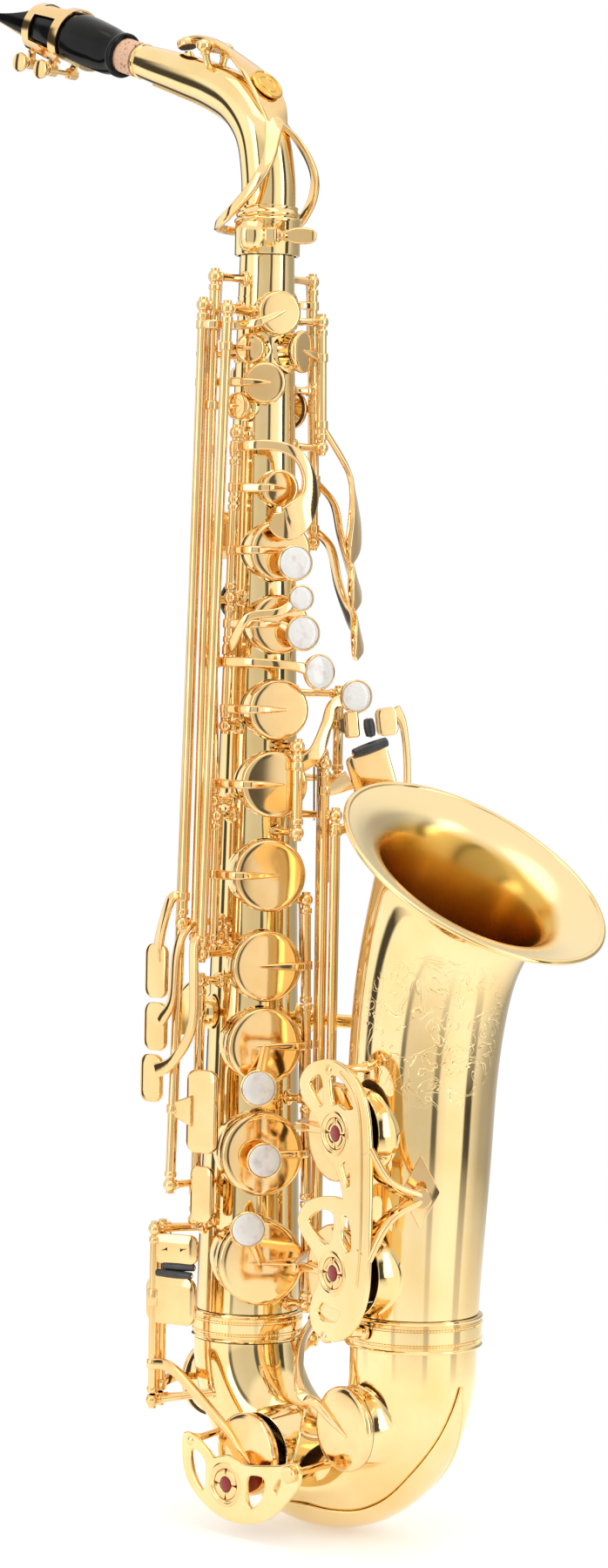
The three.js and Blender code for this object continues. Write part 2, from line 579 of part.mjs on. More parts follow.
const OCTAVE_PIP = vec(-52, 0, 663);
const OCTAVE_HINGE_Z = 663;
const octaveHingeX = -35;
const CORK_TUBE_BORE_R = 4.8;
const neckBoreLine = lineStations(NECK_LINE, WALL);
neckBoreLine[NECK_LINE.length - 1].r = CORK_TUBE_BORE_R;
neckBoreLine.push({ c: onMouth(mouthLength - 25), n: mouthAxis.clone().negate(), r: CORK_TUBE_BORE_R });
const neckBore = swept(neckBoreLine, TUBE_SEGMENTS);
const neckSteel = join([
  swept(lineStations(NECK_LINE, 0), TUBE_SEGMENTS),
  bar(neckEnd, corkEnd, CORK_BORE_R - 0.2, CORK_BORE_R - 0.2, 12),
  swept(column([[RECEIVER_TOP_Z + 0.6, 13.8], [RECEIVER_TOP_Z + 5, 13.6]]), TUBE_SEGMENTS),
  bar(vec(-51, 0, 650), OCTAVE_PIP, 2.6, 2.2, 8),
  ...[-7, 7].map((y) => (
    bar(vec(octaveHingeX, y * 0.8, 646), vec(octaveHingeX, y, OCTAVE_HINGE_Z + 2), 2, 2, 4)
  )),
]);
add('neck_tube', neckSteel
  .subtract(neckBore)
  .subtract(bar(vec(0, 0, 567), vec(0, 0, 569), 11, 11, TUBE_SEGMENTS))
  .subtract(bar(vec(-51, 0, 650), vec(-52, 0, 662), 0.9, 0.9, 6))
  .subtract(bar(onMouth(mouthLength - 26), onMouth(mouthLength - 22), 4.5, 4.5, TUBE_SEGMENTS)), lacquer);
const corkStart = neckEnd.clone().addScaledVector(mouthAxis, -0.8);
add('neck_cork', bar(corkStart, corkEnd, CORK_R, CORK_R, TUBE_SEGMENTS)
  .subtract(bar(neckEnd, onMouth(mouthLength - 30), CORK_BORE_R, CORK_BORE_R, 12)), cork);

const mouthStations = MOUTH_PROFILE.map(([s, r]) => ({ c: onMouth(s), n: mouthAxis, r }));
const halfSpace = (from, to, away) => {
  const along = to.clone().sub(from).normalize();
  const middle = from.clone().add(to).multiplyScalar(0.5).addScaledVector(away, 25);
  return plate(rounded(160, 60, 1, 1), middle, along, vec(0, 1, 0), 50);
};
const tableTip = onMouth(0, -1.2);
const tableHeel = onMouth(66, -9.2);
const tableDown = tableHeel.clone().sub(tableTip).normalize().cross(vec(0, 1, 0));
if (tableDown.z > 0) tableDown.negate();
const beakTip = onMouth(0, 0.6);
const beakTop = onMouth(34, 11.2);
const beakUp = beakTop.clone().sub(beakTip).normalize().cross(vec(0, 1, 0));
if (beakUp.z < 0) beakUp.negate();
const beakWedge = halfSpace(beakTip, beakTop, beakUp).intersect(
  bar(onMouth(-10), onMouth(40), 30, 30, 12),
);
const tableWedge = halfSpace(tableTip, tableHeel, tableDown).intersect(
  bar(onMouth(-10), onMouth(66), 30, 30, 12),
);
add('mouthpiece', cut(swept(mouthStations, 16), [
  beakWedge, tableWedge,
  bar(onMouth(mouthLength + 1), onMouth(mouthLength - 26), MOUTH_BORE_R, MOUTH_BORE_R, TUBE_SEGMENTS),
  bar(onMouth(mouthLength - 20), onMouth(30, -2), 6, 5, 10),
  bar(onMouth(36, -3), onMouth(8, -3), 4.5, 2, 8),
]), ebonite);

const REED_LENGTH = 66;
const reedTop = (s) => tableTip.clone().lerp(tableHeel, s / 66).addScaledVector(tableDown, 0.12);
const reedStrip = (s0, s1, t0, t1, w0, w1) => {
  const corners = [];
  for (const [s, t, w] of [[s0, t0, w0], [s1, t1, w1]]) {
    const upper = reedTop(s);
    const lower = upper.clone().addScaledVector(tableDown, t);
    for (const [point, y] of [[upper, -w], [upper, w], [lower, w], [lower, -w]]) {
      corners.push(point.clone().add(vec(0, y / 2, 0)));
    }
  }
  return wasm.Manifold.hull(corners.map((p) => p.toArray()));
};
add('reed', reedStrip(0.5, 32, 0.3, 3, 15.6, 14.6).add(reedStrip(31.9, REED_LENGTH, 3, 3, 14.6, 12)), cane);

const LIGATURE_R = 13.9;
const ligatureBar = (s) => bar(onMouth(s, -16.6, -9), onMouth(s, -16.6, 9), 2.6, 2.6, 6);
const LIGATURE_SCREWS = [34, 49];
const ligatureScrew = (s) => join([
  bar(onMouth(s, -16.6, -12), onMouth(s, -16.6, 10), 1.1, 1.1, 6),
  bar(onMouth(s, -16.6, -15.6), onMouth(s, -16.6, -9.4), 4.3, 4.3, 12),
]);
add('ligature', cut(join([
  bar(onMouth(28), onMouth(55), LIGATURE_R, LIGATURE_R, 18),
  ...LIGATURE_SCREWS.map(ligatureBar),
  ...LIGATURE_SCREWS.map((s) => (
    strip([onMouth(s, -12), onMouth(s, -16.6)], [16, 14], [mouthAxis, mouthAxis], 3)
  )),
]), [
  bar(onMouth(27), onMouth(56), LIGATURE_R - 0.8, LIGATURE_R - 0.8, 18),
  bar(onMouth(41.5, 0), onMouth(41.5, 20), 7, 7, 4),
  ...LIGATURE_SCREWS.map((s) => bar(onMouth(s, -16.6, -20), onMouth(s, -16.6, 20), 1.4, 1.4, 6)),
]), lacquer);
const screwHinge = (s) => ({ at: onMouth(s, -16.6), axis: vec(0, -1, 0), range: [-360, 360] });
add('ligature_screw_front', ligatureScrew(34), lacquer, screwHinge(34));
add('ligature_screw_back', ligatureScrew(49), lacquer, screwHinge(49));

const screwTip = lugPoint(-11.5, LUG_OUT);
add('neck_screw', join([
  bar(screwTip, lugPoint(8, LUG_OUT), 2.1, 2.1, 8),
  plate(rounded(7, 15, 3, 1), lugPoint(14, LUG_OUT), up, lugT, 2.6),
]), lacquer, { at: lugPoint(0, LUG_OUT), axis: lugT.clone(), range: [-360, 360] });

// The neck octave key: pad cup, hinge and the loop that hangs round the neck's foot.
const loopArc = [];
for (let az = -52; az >= -205; az -= 25.5) {
  loopArc.push(polar(21.8, az, 580));
}
const loopRise = (side, points) => points.map(([x, z]) => vec(x, side, z));
const nearArm = [vec(0, -3, 641.5), ...loopRise(-15.4, [[7, 622], [-6, 602]]), loopArc[0]];
const farArm = [vec(0, 3, 641.5), ...loopRise(15.4, [[7, 622], [11, 598]]), loopArc[loopArc.length - 1]];
const outwards = (points) => points.map((p) => vec(p.x * 0.3, p.y, 0).normalize());
const octaveHinge = vec(octaveHingeX, 0, OCTAVE_HINGE_Z);
add('neck_octave_key', join([
  bar(vec(octaveHingeX, -4, OCTAVE_HINGE_Z), vec(octaveHingeX, 4, OCTAVE_HINGE_Z), 2.2, 2.2, 8),
  disc(OCTAVE_PIP.clone().add(vec(-0.4, 0, 1.5)), vec(-0.2, 0, 0.98), 4.6, 4),
  strip([vec(-52, 0, 667.6), vec(-36, 0, 664.6), vec(-22, 0, 657.4), vec(-8, 0, 647.4), vec(3, 0, 639.6)],
    [5, 6, 7, 12, 14], [up, up, up, up, up], 2.4),
  strip(nearArm, nearArm.map(() => 4), outwards(nearArm)),
  strip(farArm, farArm.map(() => 4), outwards(farArm)),
  strip(loopArc, loopArc.map(() => 3.4), loopArc.map((p) => vec(p.x, p.y, 0).normalize()), 2.2),
]), lacquer, { at: octaveHinge, axis: vec(0, 1, 0), range: [0, 2.5] });

// ---------------------------------------------------------------- key making
const CLOSED_TRAVEL = 6;
const OPEN_TRAVEL = 7;
const SMALL_CUP_R = 9;
const cupThickness = (hole) => (hole.r < SMALL_CUP_R ? 3.6 : CUP_THICKNESS);
const onHole = (hole, out) => onSeat(hole, SEAT_GAP + out);
const cup = (hole) => disc(onHole(hole, 0), hole.normal, hole.r + CUP_OVERHANG, cupThickness(hole));
const cupTop = (hole) => onHole(hole, cupThickness(hole) + ARM_THICKNESS / 2 - 0.4);
const tube = (rod, z0, z1) => bar(onRod(rod, z0), onRod(rod, z1), ROD_R);
const radial = (point) => vec(point.x, point.y, 0).normalize();

function stripThrough(points, widths, normal) {
  return strip(points, widths, points.map((point) => normal ?? radial(point)));
}

// An arm from a rod to the middle of a cup, level with its top once it is over it.
function arm(rod, hole, z = hole.z, via = []) {
  const centre = cupTop(hole);
  const from = onRod(rod, z);
  const last = via.length ? via[via.length - 1] : from;
  const side = last.clone().sub(centre);
  side.addScaledVector(hole.normal, -side.dot(hole.normal)).normalize();
  const edge = centre.clone().addScaledVector(side, hole.r + 0.6);
  const end = centre.clone().addScaledVector(side, -hole.r * 0.35);
  const points = [from, ...via, edge, end];
  const normals = points.map((point, i) => (i < points.length - 2 ? radial(point) : hole.normal));
  return strip(points, points.map((_, i) => (i < points.length - 1 ? 5 : 7)), normals);
}

// The turn about a rod that lifts the cup off its hole.
function liftAxis(rod, hole) {
  const axis = rod.b.clone().sub(rod.a).normalize();
  const motion = axis.clone().cross(cupTop(hole).sub(rod.a));
  return motion.dot(hole.normal) > 0 ? axis : axis.negate();
}

function turned(solid, point, axis, degrees) {
  const turn = new THREE.Matrix4().makeRotationAxis(axis, rad(degrees));
  const there = new THREE.Matrix4().makeTranslation(point.x, point.y, point.z);
  const back = new THREE.Matrix4().makeTranslation(-point.x, -point.y, -point.z);
  return solid.transform(there.multiply(turn).multiply(back).elements);
}

// Keys that stand open are made closed and then turned open, so that pressing brings them home.
function addKey(name, rod, hole, solids, options = {}) {
  const { open = 0, travel = CLOSED_TRAVEL, inward = false, pearls = [] } = options;
  const lift = liftAxis(rod, hole);
  const set = (solid) => (open ? turned(solid, rod.a, lift, open) : solid);
  const axis = open || inward ? lift.clone().negate() : lift;
  const hinge = { at: rod.a, axis, range: [0, open || travel] };
  add(name, set(join(solids)), lacquer, hinge);
  pearls.forEach(([pearlName, pearlSolid]) => add(pearlName, set(pearlSolid), pearl));
}

const pearlPoint = (r, az, z) => polar(r, az, z);
const pearlCup = (centre, normal, r) => disc(centre, normal, r, 2.6);
const pearlDisc = (centre, normal, r) => (
  disc(centre.clone().addScaledVector(normal, 2.7), normal, r - 0.9, 1.5)
);

// ---------------------------------------------------------------- main stack
const HOLES = TONE_HOLES;
addKey('c_vent_key', RODS.upper, HOLES.c_vent, [
  tube(RODS.upper, 456, 475.4), arm(RODS.upper, HOLES.c_vent), cup(HOLES.c_vent),
], { open: OPEN_TRAVEL });

const STACK = [
  { name: 'b', rod: 'upper', span: [417.5, 455.4], pearl: [32, 72, 429.5], size: 8 },
  { name: 'a', rod: 'upper', span: [394, 410.4], pearl: [32.5, 79, 398.7], size: 8 },
  { name: 'f', rod: 'lower', span: [194.4, 233.4], pearl: [36.5, 44, 198], size: 8.2 },
  { name: 'e', rod: 'lower', span: [146, 187.6], pearl: [36.5, 49, 166], size: 8 },
  { name: 'd', rod: 'lower', span: [102.4, 145.4], pearl: [37.5, 39, 135.6], size: 8 },
];
for (const { name, rod, span, pearl: [r, az, z], size } of STACK) {
  const hole = HOLES[name];
  const centre = pearlPoint(r, az, z);
  const normal = polar(1, (az + hole.az) / 2, 0);
  addKey(`${name}_key`, RODS[rod], hole, [
    tube(RODS[rod], ...span), arm(RODS[rod], hole), cup(hole),
    strip([cupTop(hole), centre.clone().addScaledVector(normal, 1)], [5, 7], [normal, normal], 2.2),
    pearlCup(centre, normal, size),
  ], { open: OPEN_TRAVEL, pearls: [[`${name}_pearl`, pearlDisc(centre, normal, size)]] });
}
addKey('f_sharp_key', RODS.lower, HOLES.f_sharp, [
  tube(RODS.lower, 234, 276.6), arm(RODS.lower, HOLES.f_sharp), cup(HOLES.f_sharp),
], { open: OPEN_TRAVEL });

const bisPearl = pearlPoint(33.5, 76, 414);
const bisNormal = polar(1, 72, 0);
addKey('bis_key', RODS.upper, HOLES.bis, [
  tube(RODS.upper, 360.5, 393.4), arm(RODS.upper, HOLES.bis), cup(HOLES.bis),
  stripThrough([onRod(RODS.upper, 390.5), polar(32, 22, 391.5), polar(37, 38, 405), polar(37, 60, 408),
    bisPearl.clone().addScaledVector(bisNormal, 0.2)], [4.6, 4.6, 4, 4, 5]),
  pearlCup(bisPearl, bisNormal, 6),
], { open: OPEN_TRAVEL, pearls: [['bis_pearl', pearlDisc(bisPearl, bisNormal, 6)]] });

const gPearl = pearlPoint(35, 92, 381.5);
const gNormal = polar(1, 84, 0);
addKey('g_key', RODS.g, HOLES.g, [
  tube(RODS.g, 327, 409.6), arm(RODS.g, HOLES.g), cup(HOLES.g),
  stripThrough([onRod(RODS.g, 384.5), polar(32.4, 18, 385.5), polar(37, 46, 385.5), polar(37, 72, 384),
    gPearl.clone().addScaledVector(gNormal, 1.2)], [4.6, 4.6, 4.2, 4.2, 6]),
  pearlCup(gPearl, gNormal, 8),
], { open: OPEN_TRAVEL, pearls: [['g_pearl', pearlDisc(gPearl, gNormal, 8)]] });

const frontPlate = pearlPoint(35.5, 66, 447);
addKey('front_f_key', RODS.upper, { ...HOLES.c_vent, z: 480, axis: vec(0, 0, 480) }, [
  tube(RODS.upper, 476.2, 483.4),
  stripThrough([onRod(RODS.upper, 480), polar(33, 58, 480.5), polar(35.5, 79, 466), polar(36, 78, 456),
    frontPlate.clone().addScaledVector(gNormal, 1.2)], [5, 5, 4.6, 4.6, 6]),
  disc(frontPlate, polar(1, 68, 0), 7.2, 2.6),
], { travel: 4, inward: true });

addKey('g_sharp_key', RODS.g_sharp, HOLES.g_sharp, [
  tube(RODS.g_sharp, 261.4, 313.6), arm(RODS.g_sharp, HOLES.g_sharp), cup(HOLES.g_sharp),
]);

// ---------------------------------------------------------------- side keys
addKey('high_e_key', RODS.side_e, HOLES.high_e, [
  tube(RODS.side_e, 272.8, 539.6), cup(HOLES.high_e),
  arm(RODS.side_e, HOLES.high_e, 534.4, [
    polar(33.6, 0, 534.4), polar(24, 10, 534.4), polar(23.4, 34, 535.5),
  ]),
  stripThrough([onRod(RODS.side_e, 281), polar(46, -10, 280), polar(47.6, -17, 262), polar(48, -20, 258)],
    [5, 5, 5, 7]),
  stripThrough([polar(48, -20, 257), polar(48, -20, 235.2)], [10.5, 10.5]),
]);
addKey('side_c_key', RODS.side_c, HOLES.side_c, [
  tube(RODS.side_c, 266.4, 552.6), arm(RODS.side_c, HOLES.side_c), cup(HOLES.side_c),
  stripThrough([onRod(RODS.side_c, 268.8), polar(44, -1, 266), polar(46, -5, 257), polar(46, -8, 233),
    polar(48, -15.5, 225.5)], [4.6, 4.6, 4.6, 4.6, 6]),
  stripThrough([polar(48.4, -19.4, 231.4), polar(48.4, -19.4, 212.8)], [10.5, 10.5]),
]);
addKey('side_bb_key', RODS.side_bb, HOLES.side_bb, [
  tube(RODS.side_bb, 259.4, 537.6), arm(RODS.side_bb, HOLES.side_bb), cup(HOLES.side_bb),
  stripThrough([onRod(RODS.side_bb, 262.4), polar(45.6, 8, 262), polar(45.6, 8, 224), polar(46.6, -4, 209),
    polar(48.5, -17, 203)], [4.6, 4.6, 4.6, 5, 6]),
  stripThrough([polar(48.9, -22.4, 208.6), polar(48.9, -22.4, 188.6)], [10.5, 10.5]),
]);
addKey('high_f_sharp_key', RODS.high_f_sharp, HOLES.high_f_sharp, [
  tube(RODS.high_f_sharp, 155.4, 518.6), cup(HOLES.high_f_sharp),
  arm(RODS.high_f_sharp, HOLES.high_f_sharp, 509.4, [polar(24.4, -8, 509.4), polar(23.6, 14, 509.4)]),
  stripThrough([onRod(RODS.high_f_sharp, 186), polar(39.5, 2, 186)], [6, 14]),
  plate(rounded(12, 36, 5, 2), polar(37.4, 10.2, 186), polar(1, 100, 0), up, 2.4),
]);
addKey('trill_key', RODS.trill, HOLES.trill, [
  tube(RODS.trill, 139.4, 239.6), arm(RODS.trill, HOLES.trill), cup(HOLES.trill),
  stripThrough([onRod(RODS.trill, 149), polar(34.6, 2, 149)], [6, 11]),
  plate(rounded(9, 22, 4, 2), polar(35.6, 8.5, 149), polar(1, 98, 0), up, 2.4),
]);

// ---------------------------------------------------------------- palm keys
const PALM_KEYS = [
  {
    name: 'palm_d', span: [485.4, 534.6], armZ: 522, touchZ: 492,
    path: [polar(38, 144, 470), polar(42, 148, 454)], plate: [polar(42, 148, 455), polar(42, 148, 432)],
  },
  {
    name: 'palm_eb', span: [465.4, 504.6], armZ: 500, touchZ: 468,
    path: [polar(39, 166, 458), polar(43, 166, 422), polar(43, 152, 420)],
    plate: [polar(43, 146, 427), polar(43, 143, 413)],
  },
  {
    name: 'palm_f', span: [443.4, 554.6], armZ: 547, touchZ: 446,
    path: [polar(43, 177, 438), polar(45, 175, 402), polar(44.6, 146, 400)],
    plate: [polar(44, 140, 409.5), polar(44, 137, 391)],
  },
];
for (const { name, span, armZ, touchZ, path, plate: [top, bottom] } of PALM_KEYS) {
  const rod = RODS[name];
  const hole = HOLES[name];
  addKey(`${name}_key`, rod, hole, [
    tube(rod, ...span), arm(rod, hole, armZ), cup(hole),
    stripThrough([onRod(rod, touchZ), ...path], [5, 5, 5, 6].slice(0, path.length + 1)),
    stripThrough([top, bottom], [10, 9]),
  ]);
}

// ---------------------------------------------------------------- left-hand little-finger table
// The table's plates share one plane; t runs across it and n out of it.
const TABLE_N = polar(1, 65, 0);
const TABLE_T = polar(1, 150, 0);
const TABLE_LEVEL = 33;
function onTable(t, z, n = TABLE_LEVEL) {
  const overlap = TABLE_N.dot(TABLE_T);
  const scale = 1 / (1 - overlap * overlap);
  return vec(0, 0, z)
    .addScaledVector(TABLE_N, (n - t * overlap) * scale)
    .addScaledVector(TABLE_T, (t - n * overlap) * scale);
}
const tablePlate = (t0, t1, z0, z1) => strip(
  [onTable(t0, (z0 + z1) / 2), onTable(t1, (z0 + z1) / 2)], [z1 - z0, z1 - z0], [TABLE_N, TABLE_N], 2.4,
);
const tableStrip = (points, widths) => strip(points, widths, points.map(() => TABLE_N), 2.4);

const gSharpPearl = polar(45, 114, 371);
addKey('g_sharp_touch', RODS.g_sharp_touch, HOLES.g_sharp, [
  tube(RODS.g_sharp_touch, 314, 345.2),
  tableStrip([onRod(RODS.g_sharp_touch, 340), onTable(16, 346, 37.5), onTable(26, 368, 30.6),
    gSharpPearl.clone().addScaledVector(TABLE_N, 0.6)], [8, 7, 5, 6]),
  pearlCup(gSharpPearl, TABLE_N, 7.6),
], { inward: true, travel: 4, pearls: [['g_sharp_pearl', pearlDisc(gSharpPearl, TABLE_N, 7.6)]] });

const BELL_OPEN = 4.4;
function bellArm(rod, hole, z) {
  const middle = vec(69, -36.5, z);
  return arm(rod, hole, z, [middle]);
}
addKey('low_bb_key', RODS.low_bb, HOLES.low_bb, [
  tube(RODS.low_bb, 115.4, 337.6), bellArm(RODS.low_bb, HOLES.low_bb, 124.8), cup(HOLES.low_bb),
  tableStrip([onRod(RODS.low_bb, 329), onTable(29, 331, 31.5), onTable(34, 336)], [5, 6, 8]),
  tablePlate(33, 53, 329.5, 349.5),
], { open: BELL_OPEN });
addKey('low_b_key', RODS.low_b, HOLES.low_b, [
  tube(RODS.low_b, 175.4, 314.6), bellArm(RODS.low_b, HOLES.low_b, 185.9), cup(HOLES.low_b),
  tableStrip([onRod(RODS.low_b, 311), onTable(45, 316), onTable(59.5, 325)], [5, 5, 5]),
  tableStrip([onTable(59.5, 323), onTable(59.5, 355), onTable(51, 357)], [5, 5, 5]),
  tablePlate(40.5, 53, 351.5, 361),
], { open: BELL_OPEN });
addKey('low_c_sharp_key', RODS.low_c_sharp, HOLES.low_c_sharp, [
  tube(RODS.low_c_sharp, 85.4, 341.6), cup(HOLES.low_c_sharp),
  arm(RODS.low_c_sharp, HOLES.low_c_sharp, 90, [vec(46, -14, 84), vec(66, -35, 70)]),
], { travel: 5 });
addKey('low_c_sharp_touch', RODS.low_c_sharp_touch, HOLES.low_c_sharp, [
  tube(RODS.low_c_sharp_touch, 337.4, 368.6),
  tableStrip([onRod(RODS.low_c_sharp_touch, 358), onTable(33, 358, 31)], [5, 8]),
  tablePlate(31, 37.4, 353, 363.4),
], { inward: true, travel: 4 });

// ---------------------------------------------------------------- right-hand little-finger keys
const PINKY_N = polar(1, 20, 0);
const PINKY_T = polar(1, 110, 0);
const pinkyFrom = (rod, z, t) => onRod(rod, z).addScaledVector(PINKY_T, t);
const pinkyStrip = (points, widths) => strip(points, widths, points.map(() => PINKY_N), 2.4);
const C_PLATE_Z = 101;
const EB_PLATE_Z = 120.8;
addKey('low_c_key', RODS.low_c, HOLES.low_c, [
  tube(RODS.low_c, 57.9, 128), cup(HOLES.low_c),
  arm(RODS.low_c, HOLES.low_c, 71, [vec(-2, -42.5, 70)]),
  pinkyStrip([pinkyFrom(RODS.low_c, C_PLATE_Z, 0), pinkyFrom(RODS.low_c, C_PLATE_Z, 21)], [22, 22]),
], { open: 5 });
addKey('low_eb_key', RODS.low_eb, HOLES.low_eb, [
  tube(RODS.low_eb, 57.9, 128), cup(HOLES.low_eb),
  arm(RODS.low_eb, HOLES.low_eb, 61, [vec(-31, -14, 60)]),
  pinkyStrip([onRod(RODS.low_eb, EB_PLATE_Z), pinkyFrom(RODS.low_c, EB_PLATE_Z, 8)], [8, 13]),
  pinkyStrip([pinkyFrom(RODS.low_c, EB_PLATE_Z, 7), pinkyFrom(RODS.low_c, EB_PLATE_Z, 21)], [14, 14]),
], { travel: 5 });

// ---------------------------------------------------------------- octave mechanism on the body
const octavePin = polar(18, 254, 568);
addKey('body_octave_key', RODS.body_octave, HOLES.octave, [
  tube(RODS.body_octave, 453.4, 544.6), arm(RODS.body_octave, HOLES.octave), cup(HOLES.octave),
  stripThrough([onRod(RODS.body_octave, 540), polar(23, 252, 543), polar(18.2, 254, 562), octavePin],
    [4, 4, 3.4, 3]),
  bar(octavePin, octavePin.clone().setZ(584), 1.2, 1.2, 6),
], { travel: 3 });

const thumbMiddle = RODS.thumb_octave.a.clone().lerp(RODS.thumb_octave.b, 0.5);
const thumbRod = RODS.thumb_octave;
const thumbEnd = (from, to) => from.clone().addScaledVector(to.clone().sub(from).normalize(), 3.4);
add('thumb_octave_lever', join([
  bar(thumbEnd(thumbRod.a, thumbRod.b), thumbEnd(thumbRod.b, thumbRod.a), ROD_R),
  strip([thumbMiddle, backPoint(438, 11)], [7, 10], [backN, backN]),
  strip([backPoint(436, 12), backPoint(452, 12.5)], [16, 13], [backN, backN]),
]), lacquer, {
  at: thumbMiddle, axis: thumbRod.b.clone().sub(thumbRod.a).normalize(), range: [0, 6],
});

// ---------------------------------------------------------------- footprint centring
const bounds = new THREE.Box3().setFromObject(horn);
const footprint = bounds.getCenter(vec(0, 0, 0));
horn.position.set(-footprint.x, -footprint.y, -bounds.min.z);
horn.updateMatrixWorld(true);

export default horn;
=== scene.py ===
import json
import math

import bpy
import bmesh
from mathutils import Matrix, Vector
from mathutils.bvhtree import BVHTree


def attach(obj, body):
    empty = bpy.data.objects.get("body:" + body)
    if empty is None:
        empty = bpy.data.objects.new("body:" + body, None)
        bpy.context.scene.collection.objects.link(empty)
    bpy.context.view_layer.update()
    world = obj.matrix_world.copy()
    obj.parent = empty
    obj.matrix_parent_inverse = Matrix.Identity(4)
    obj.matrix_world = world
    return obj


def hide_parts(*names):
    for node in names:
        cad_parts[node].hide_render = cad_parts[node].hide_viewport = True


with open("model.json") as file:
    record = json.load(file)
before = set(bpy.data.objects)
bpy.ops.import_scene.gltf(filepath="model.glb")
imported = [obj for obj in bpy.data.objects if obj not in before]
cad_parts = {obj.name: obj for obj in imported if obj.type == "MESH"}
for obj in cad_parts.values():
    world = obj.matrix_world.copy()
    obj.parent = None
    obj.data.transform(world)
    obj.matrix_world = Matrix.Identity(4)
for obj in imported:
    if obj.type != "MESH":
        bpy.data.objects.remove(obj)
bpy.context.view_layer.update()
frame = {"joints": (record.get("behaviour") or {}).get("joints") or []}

# The working frame is the horn's own: the body tube's axis is z, +X is the side the bell faces and
# -Y is the player's right. Lengths are in millimetres and turn into metres in at().
MM = 0.001
JOINTS = {joint["child"]: joint for joint in frame["joints"]}
SWIVEL_Z = 575
ORIGIN = Vector(JOINTS["neck"]["pos_m"]) - Vector((0, 0, SWIVEL_Z * MM))
UP = Vector((0, 0, 1))


def at(x, y, z):
    return ORIGIN + Vector((x, y, z)) * MM


def outward(az):
    """The level direction at angle az round the body: 0 is -Y and 90 is +X."""
    return Vector((math.sin(math.radians(az)), -math.cos(math.radians(az)), 0))


def polar(r, az, z, cx=0):
    side = outward(az) * r
    return at(cx + side.x, side.y, z)


# ------------------------------------------------------------------ driving dimensions
TUBE_TOP_Z = 566.7
TUBE_BOTTOM_Z = 94.3
RING_TOP_Z = 94
RING_BOTTOM_Z = 81.3
BELL_RING_TOP_Z = 105.4
BELL_RING_BOTTOM_Z = 91.3
BOW_SPAN = 100
BOW_BEND_R = 50
BOW_DEPTH = 52
BOW_R = (24.2, 25.4, 27.8)
WALL = 1.4
BELL_WALL = 1.1
CHIMNEY_HEIGHT = 4
SEAT_GAP = 0.3
ROD_R = 2.25
BALL_R = 3.1
CUP_OVERHANG = 1.6
BIG_HOLE_R = 9
ROUND = 64
SHARP_EDGE = math.radians(38)
SIDE_TOUCH_WIDTH = 12.5
FELT_RING_R = 7.6

# The bell's line: x, z, outer radius and how far its axis leans out, in degrees.
BELL_LINE = [
    (100, 105.7, 28.2, 0), (100.2, 130, 29.3, 1), (101, 170, 31.2, 3), (102, 203, 32.2, 6.5),
    (103.8, 225, 32.9, 10), (106.4, 243, 33.6, 15), (109.8, 258, 34.4, 20), (113.8, 270, 35.6, 25),
    (117.8, 279.5, 37.2, 29), (121.4, 286.4, 39.2, 32), (124.3, 290.6, 42, 35),
    (126.3, 293.5, 45.5, 35), (127.8, 295.5, 50, 35), (128.8, 296.9, 55.5, 35), (129.5, 298, 61.8, 35),
]
BELL_MOUTH = (129.5, 0, 298)
MOUTH_LEAN = 35
# The neck's line: x, z and outer radius.
NECK_LINE = [
    (0, 568.5, 12.2), (0, 584.5, 12.2), (-0.4, 603, 12.1), (-5, 622, 11.8), (-16.5, 636, 11.2),
    (-33, 645, 10.3), (-53, 652, 9.3), (-73, 658.3, 8.2), (-83, 661.4, 7.4),
]
MOUTH_TIP = at(-177.9, 0, 691.1)
MOUTH_SHANK = at(-93, 0, 664.3)


def tube_r(z):
    return 12.4 + 0.0236 * (560 - z)


def tone_hole(z, az, r, cx=0, seat=None, wall=None, lip=CUP_OVERHANG):
    return {
        "z": z, "az": az, "r": r, "cx": cx, "normal": outward(az), "lip": lip,
        "wall": wall or tube_r(z), "seat": seat or tube_r(z) + CHIMNEY_HEIGHT,
    }


HOLES = {
    "high_e": tone_hole(540.5, 62, 8.2),
    "high_f_sharp": tone_hole(509.4, 44, 7.6),
    "c_vent": tone_hole(462.7, 66, 6.6),
    "b": tone_hole(435, 66, 12),
    "a": tone_hole(402.4, 66, 11.6),
    "bis": tone_hole(364.6, 66, 11.9),
    "g": tone_hole(331.4, 63, 13.2),
    "g_sharp": tone_hole(291, 58, 14.6),
    "f_sharp": tone_hole(250.8, 54, 14.2),
    "f": tone_hole(215.4, 53, 15.4),
    "e": tone_hole(167.5, 52, 17),
    "d": tone_hole(119.4, 52, 17.6),
    "side_c": tone_hole(499, 8, 4.6),
    "side_bb": tone_hole(524.5, 23, 5.2),
    "palm_d": tone_hole(524, 102, 7.8),
    "palm_eb": tone_hole(500, 190, 8),
    "palm_f": tone_hole(547, 205, 7.2),
    "body_octave": tone_hole(515, 262, 2.2),
    "trill": tone_hole(228, -34, 6.4),
    "low_b": tone_hole(185.9, -11, 17.6, 101, 35.6, 32, 3.6),
    "low_bb": tone_hole(124.8, -11, 18, 100.2, 33.6, 29.3, 3.2),
    "low_c_sharp": tone_hole(57, -10, 16.8, 97, 31.5, 27.5),
    "low_c": tone_hole(38, 2, 16.6, 35, 29.5, 25.2),
    "low_eb": tone_hole(58, -100, 16.4, 5.5, 28.6, 24.2),
}
BOW_HOLES = ("low_c_sharp", "low_c", "low_eb")
BELL_HOLES = ("low_b", "low_bb")
STANDS_OPEN = (
    "c_vent_key", "b_key", "a_key", "bis_key", "g_key", "f_sharp_key", "f_key", "e_key", "d_key",
    "low_b_key", "low_bb_key", "low_c_key",
)


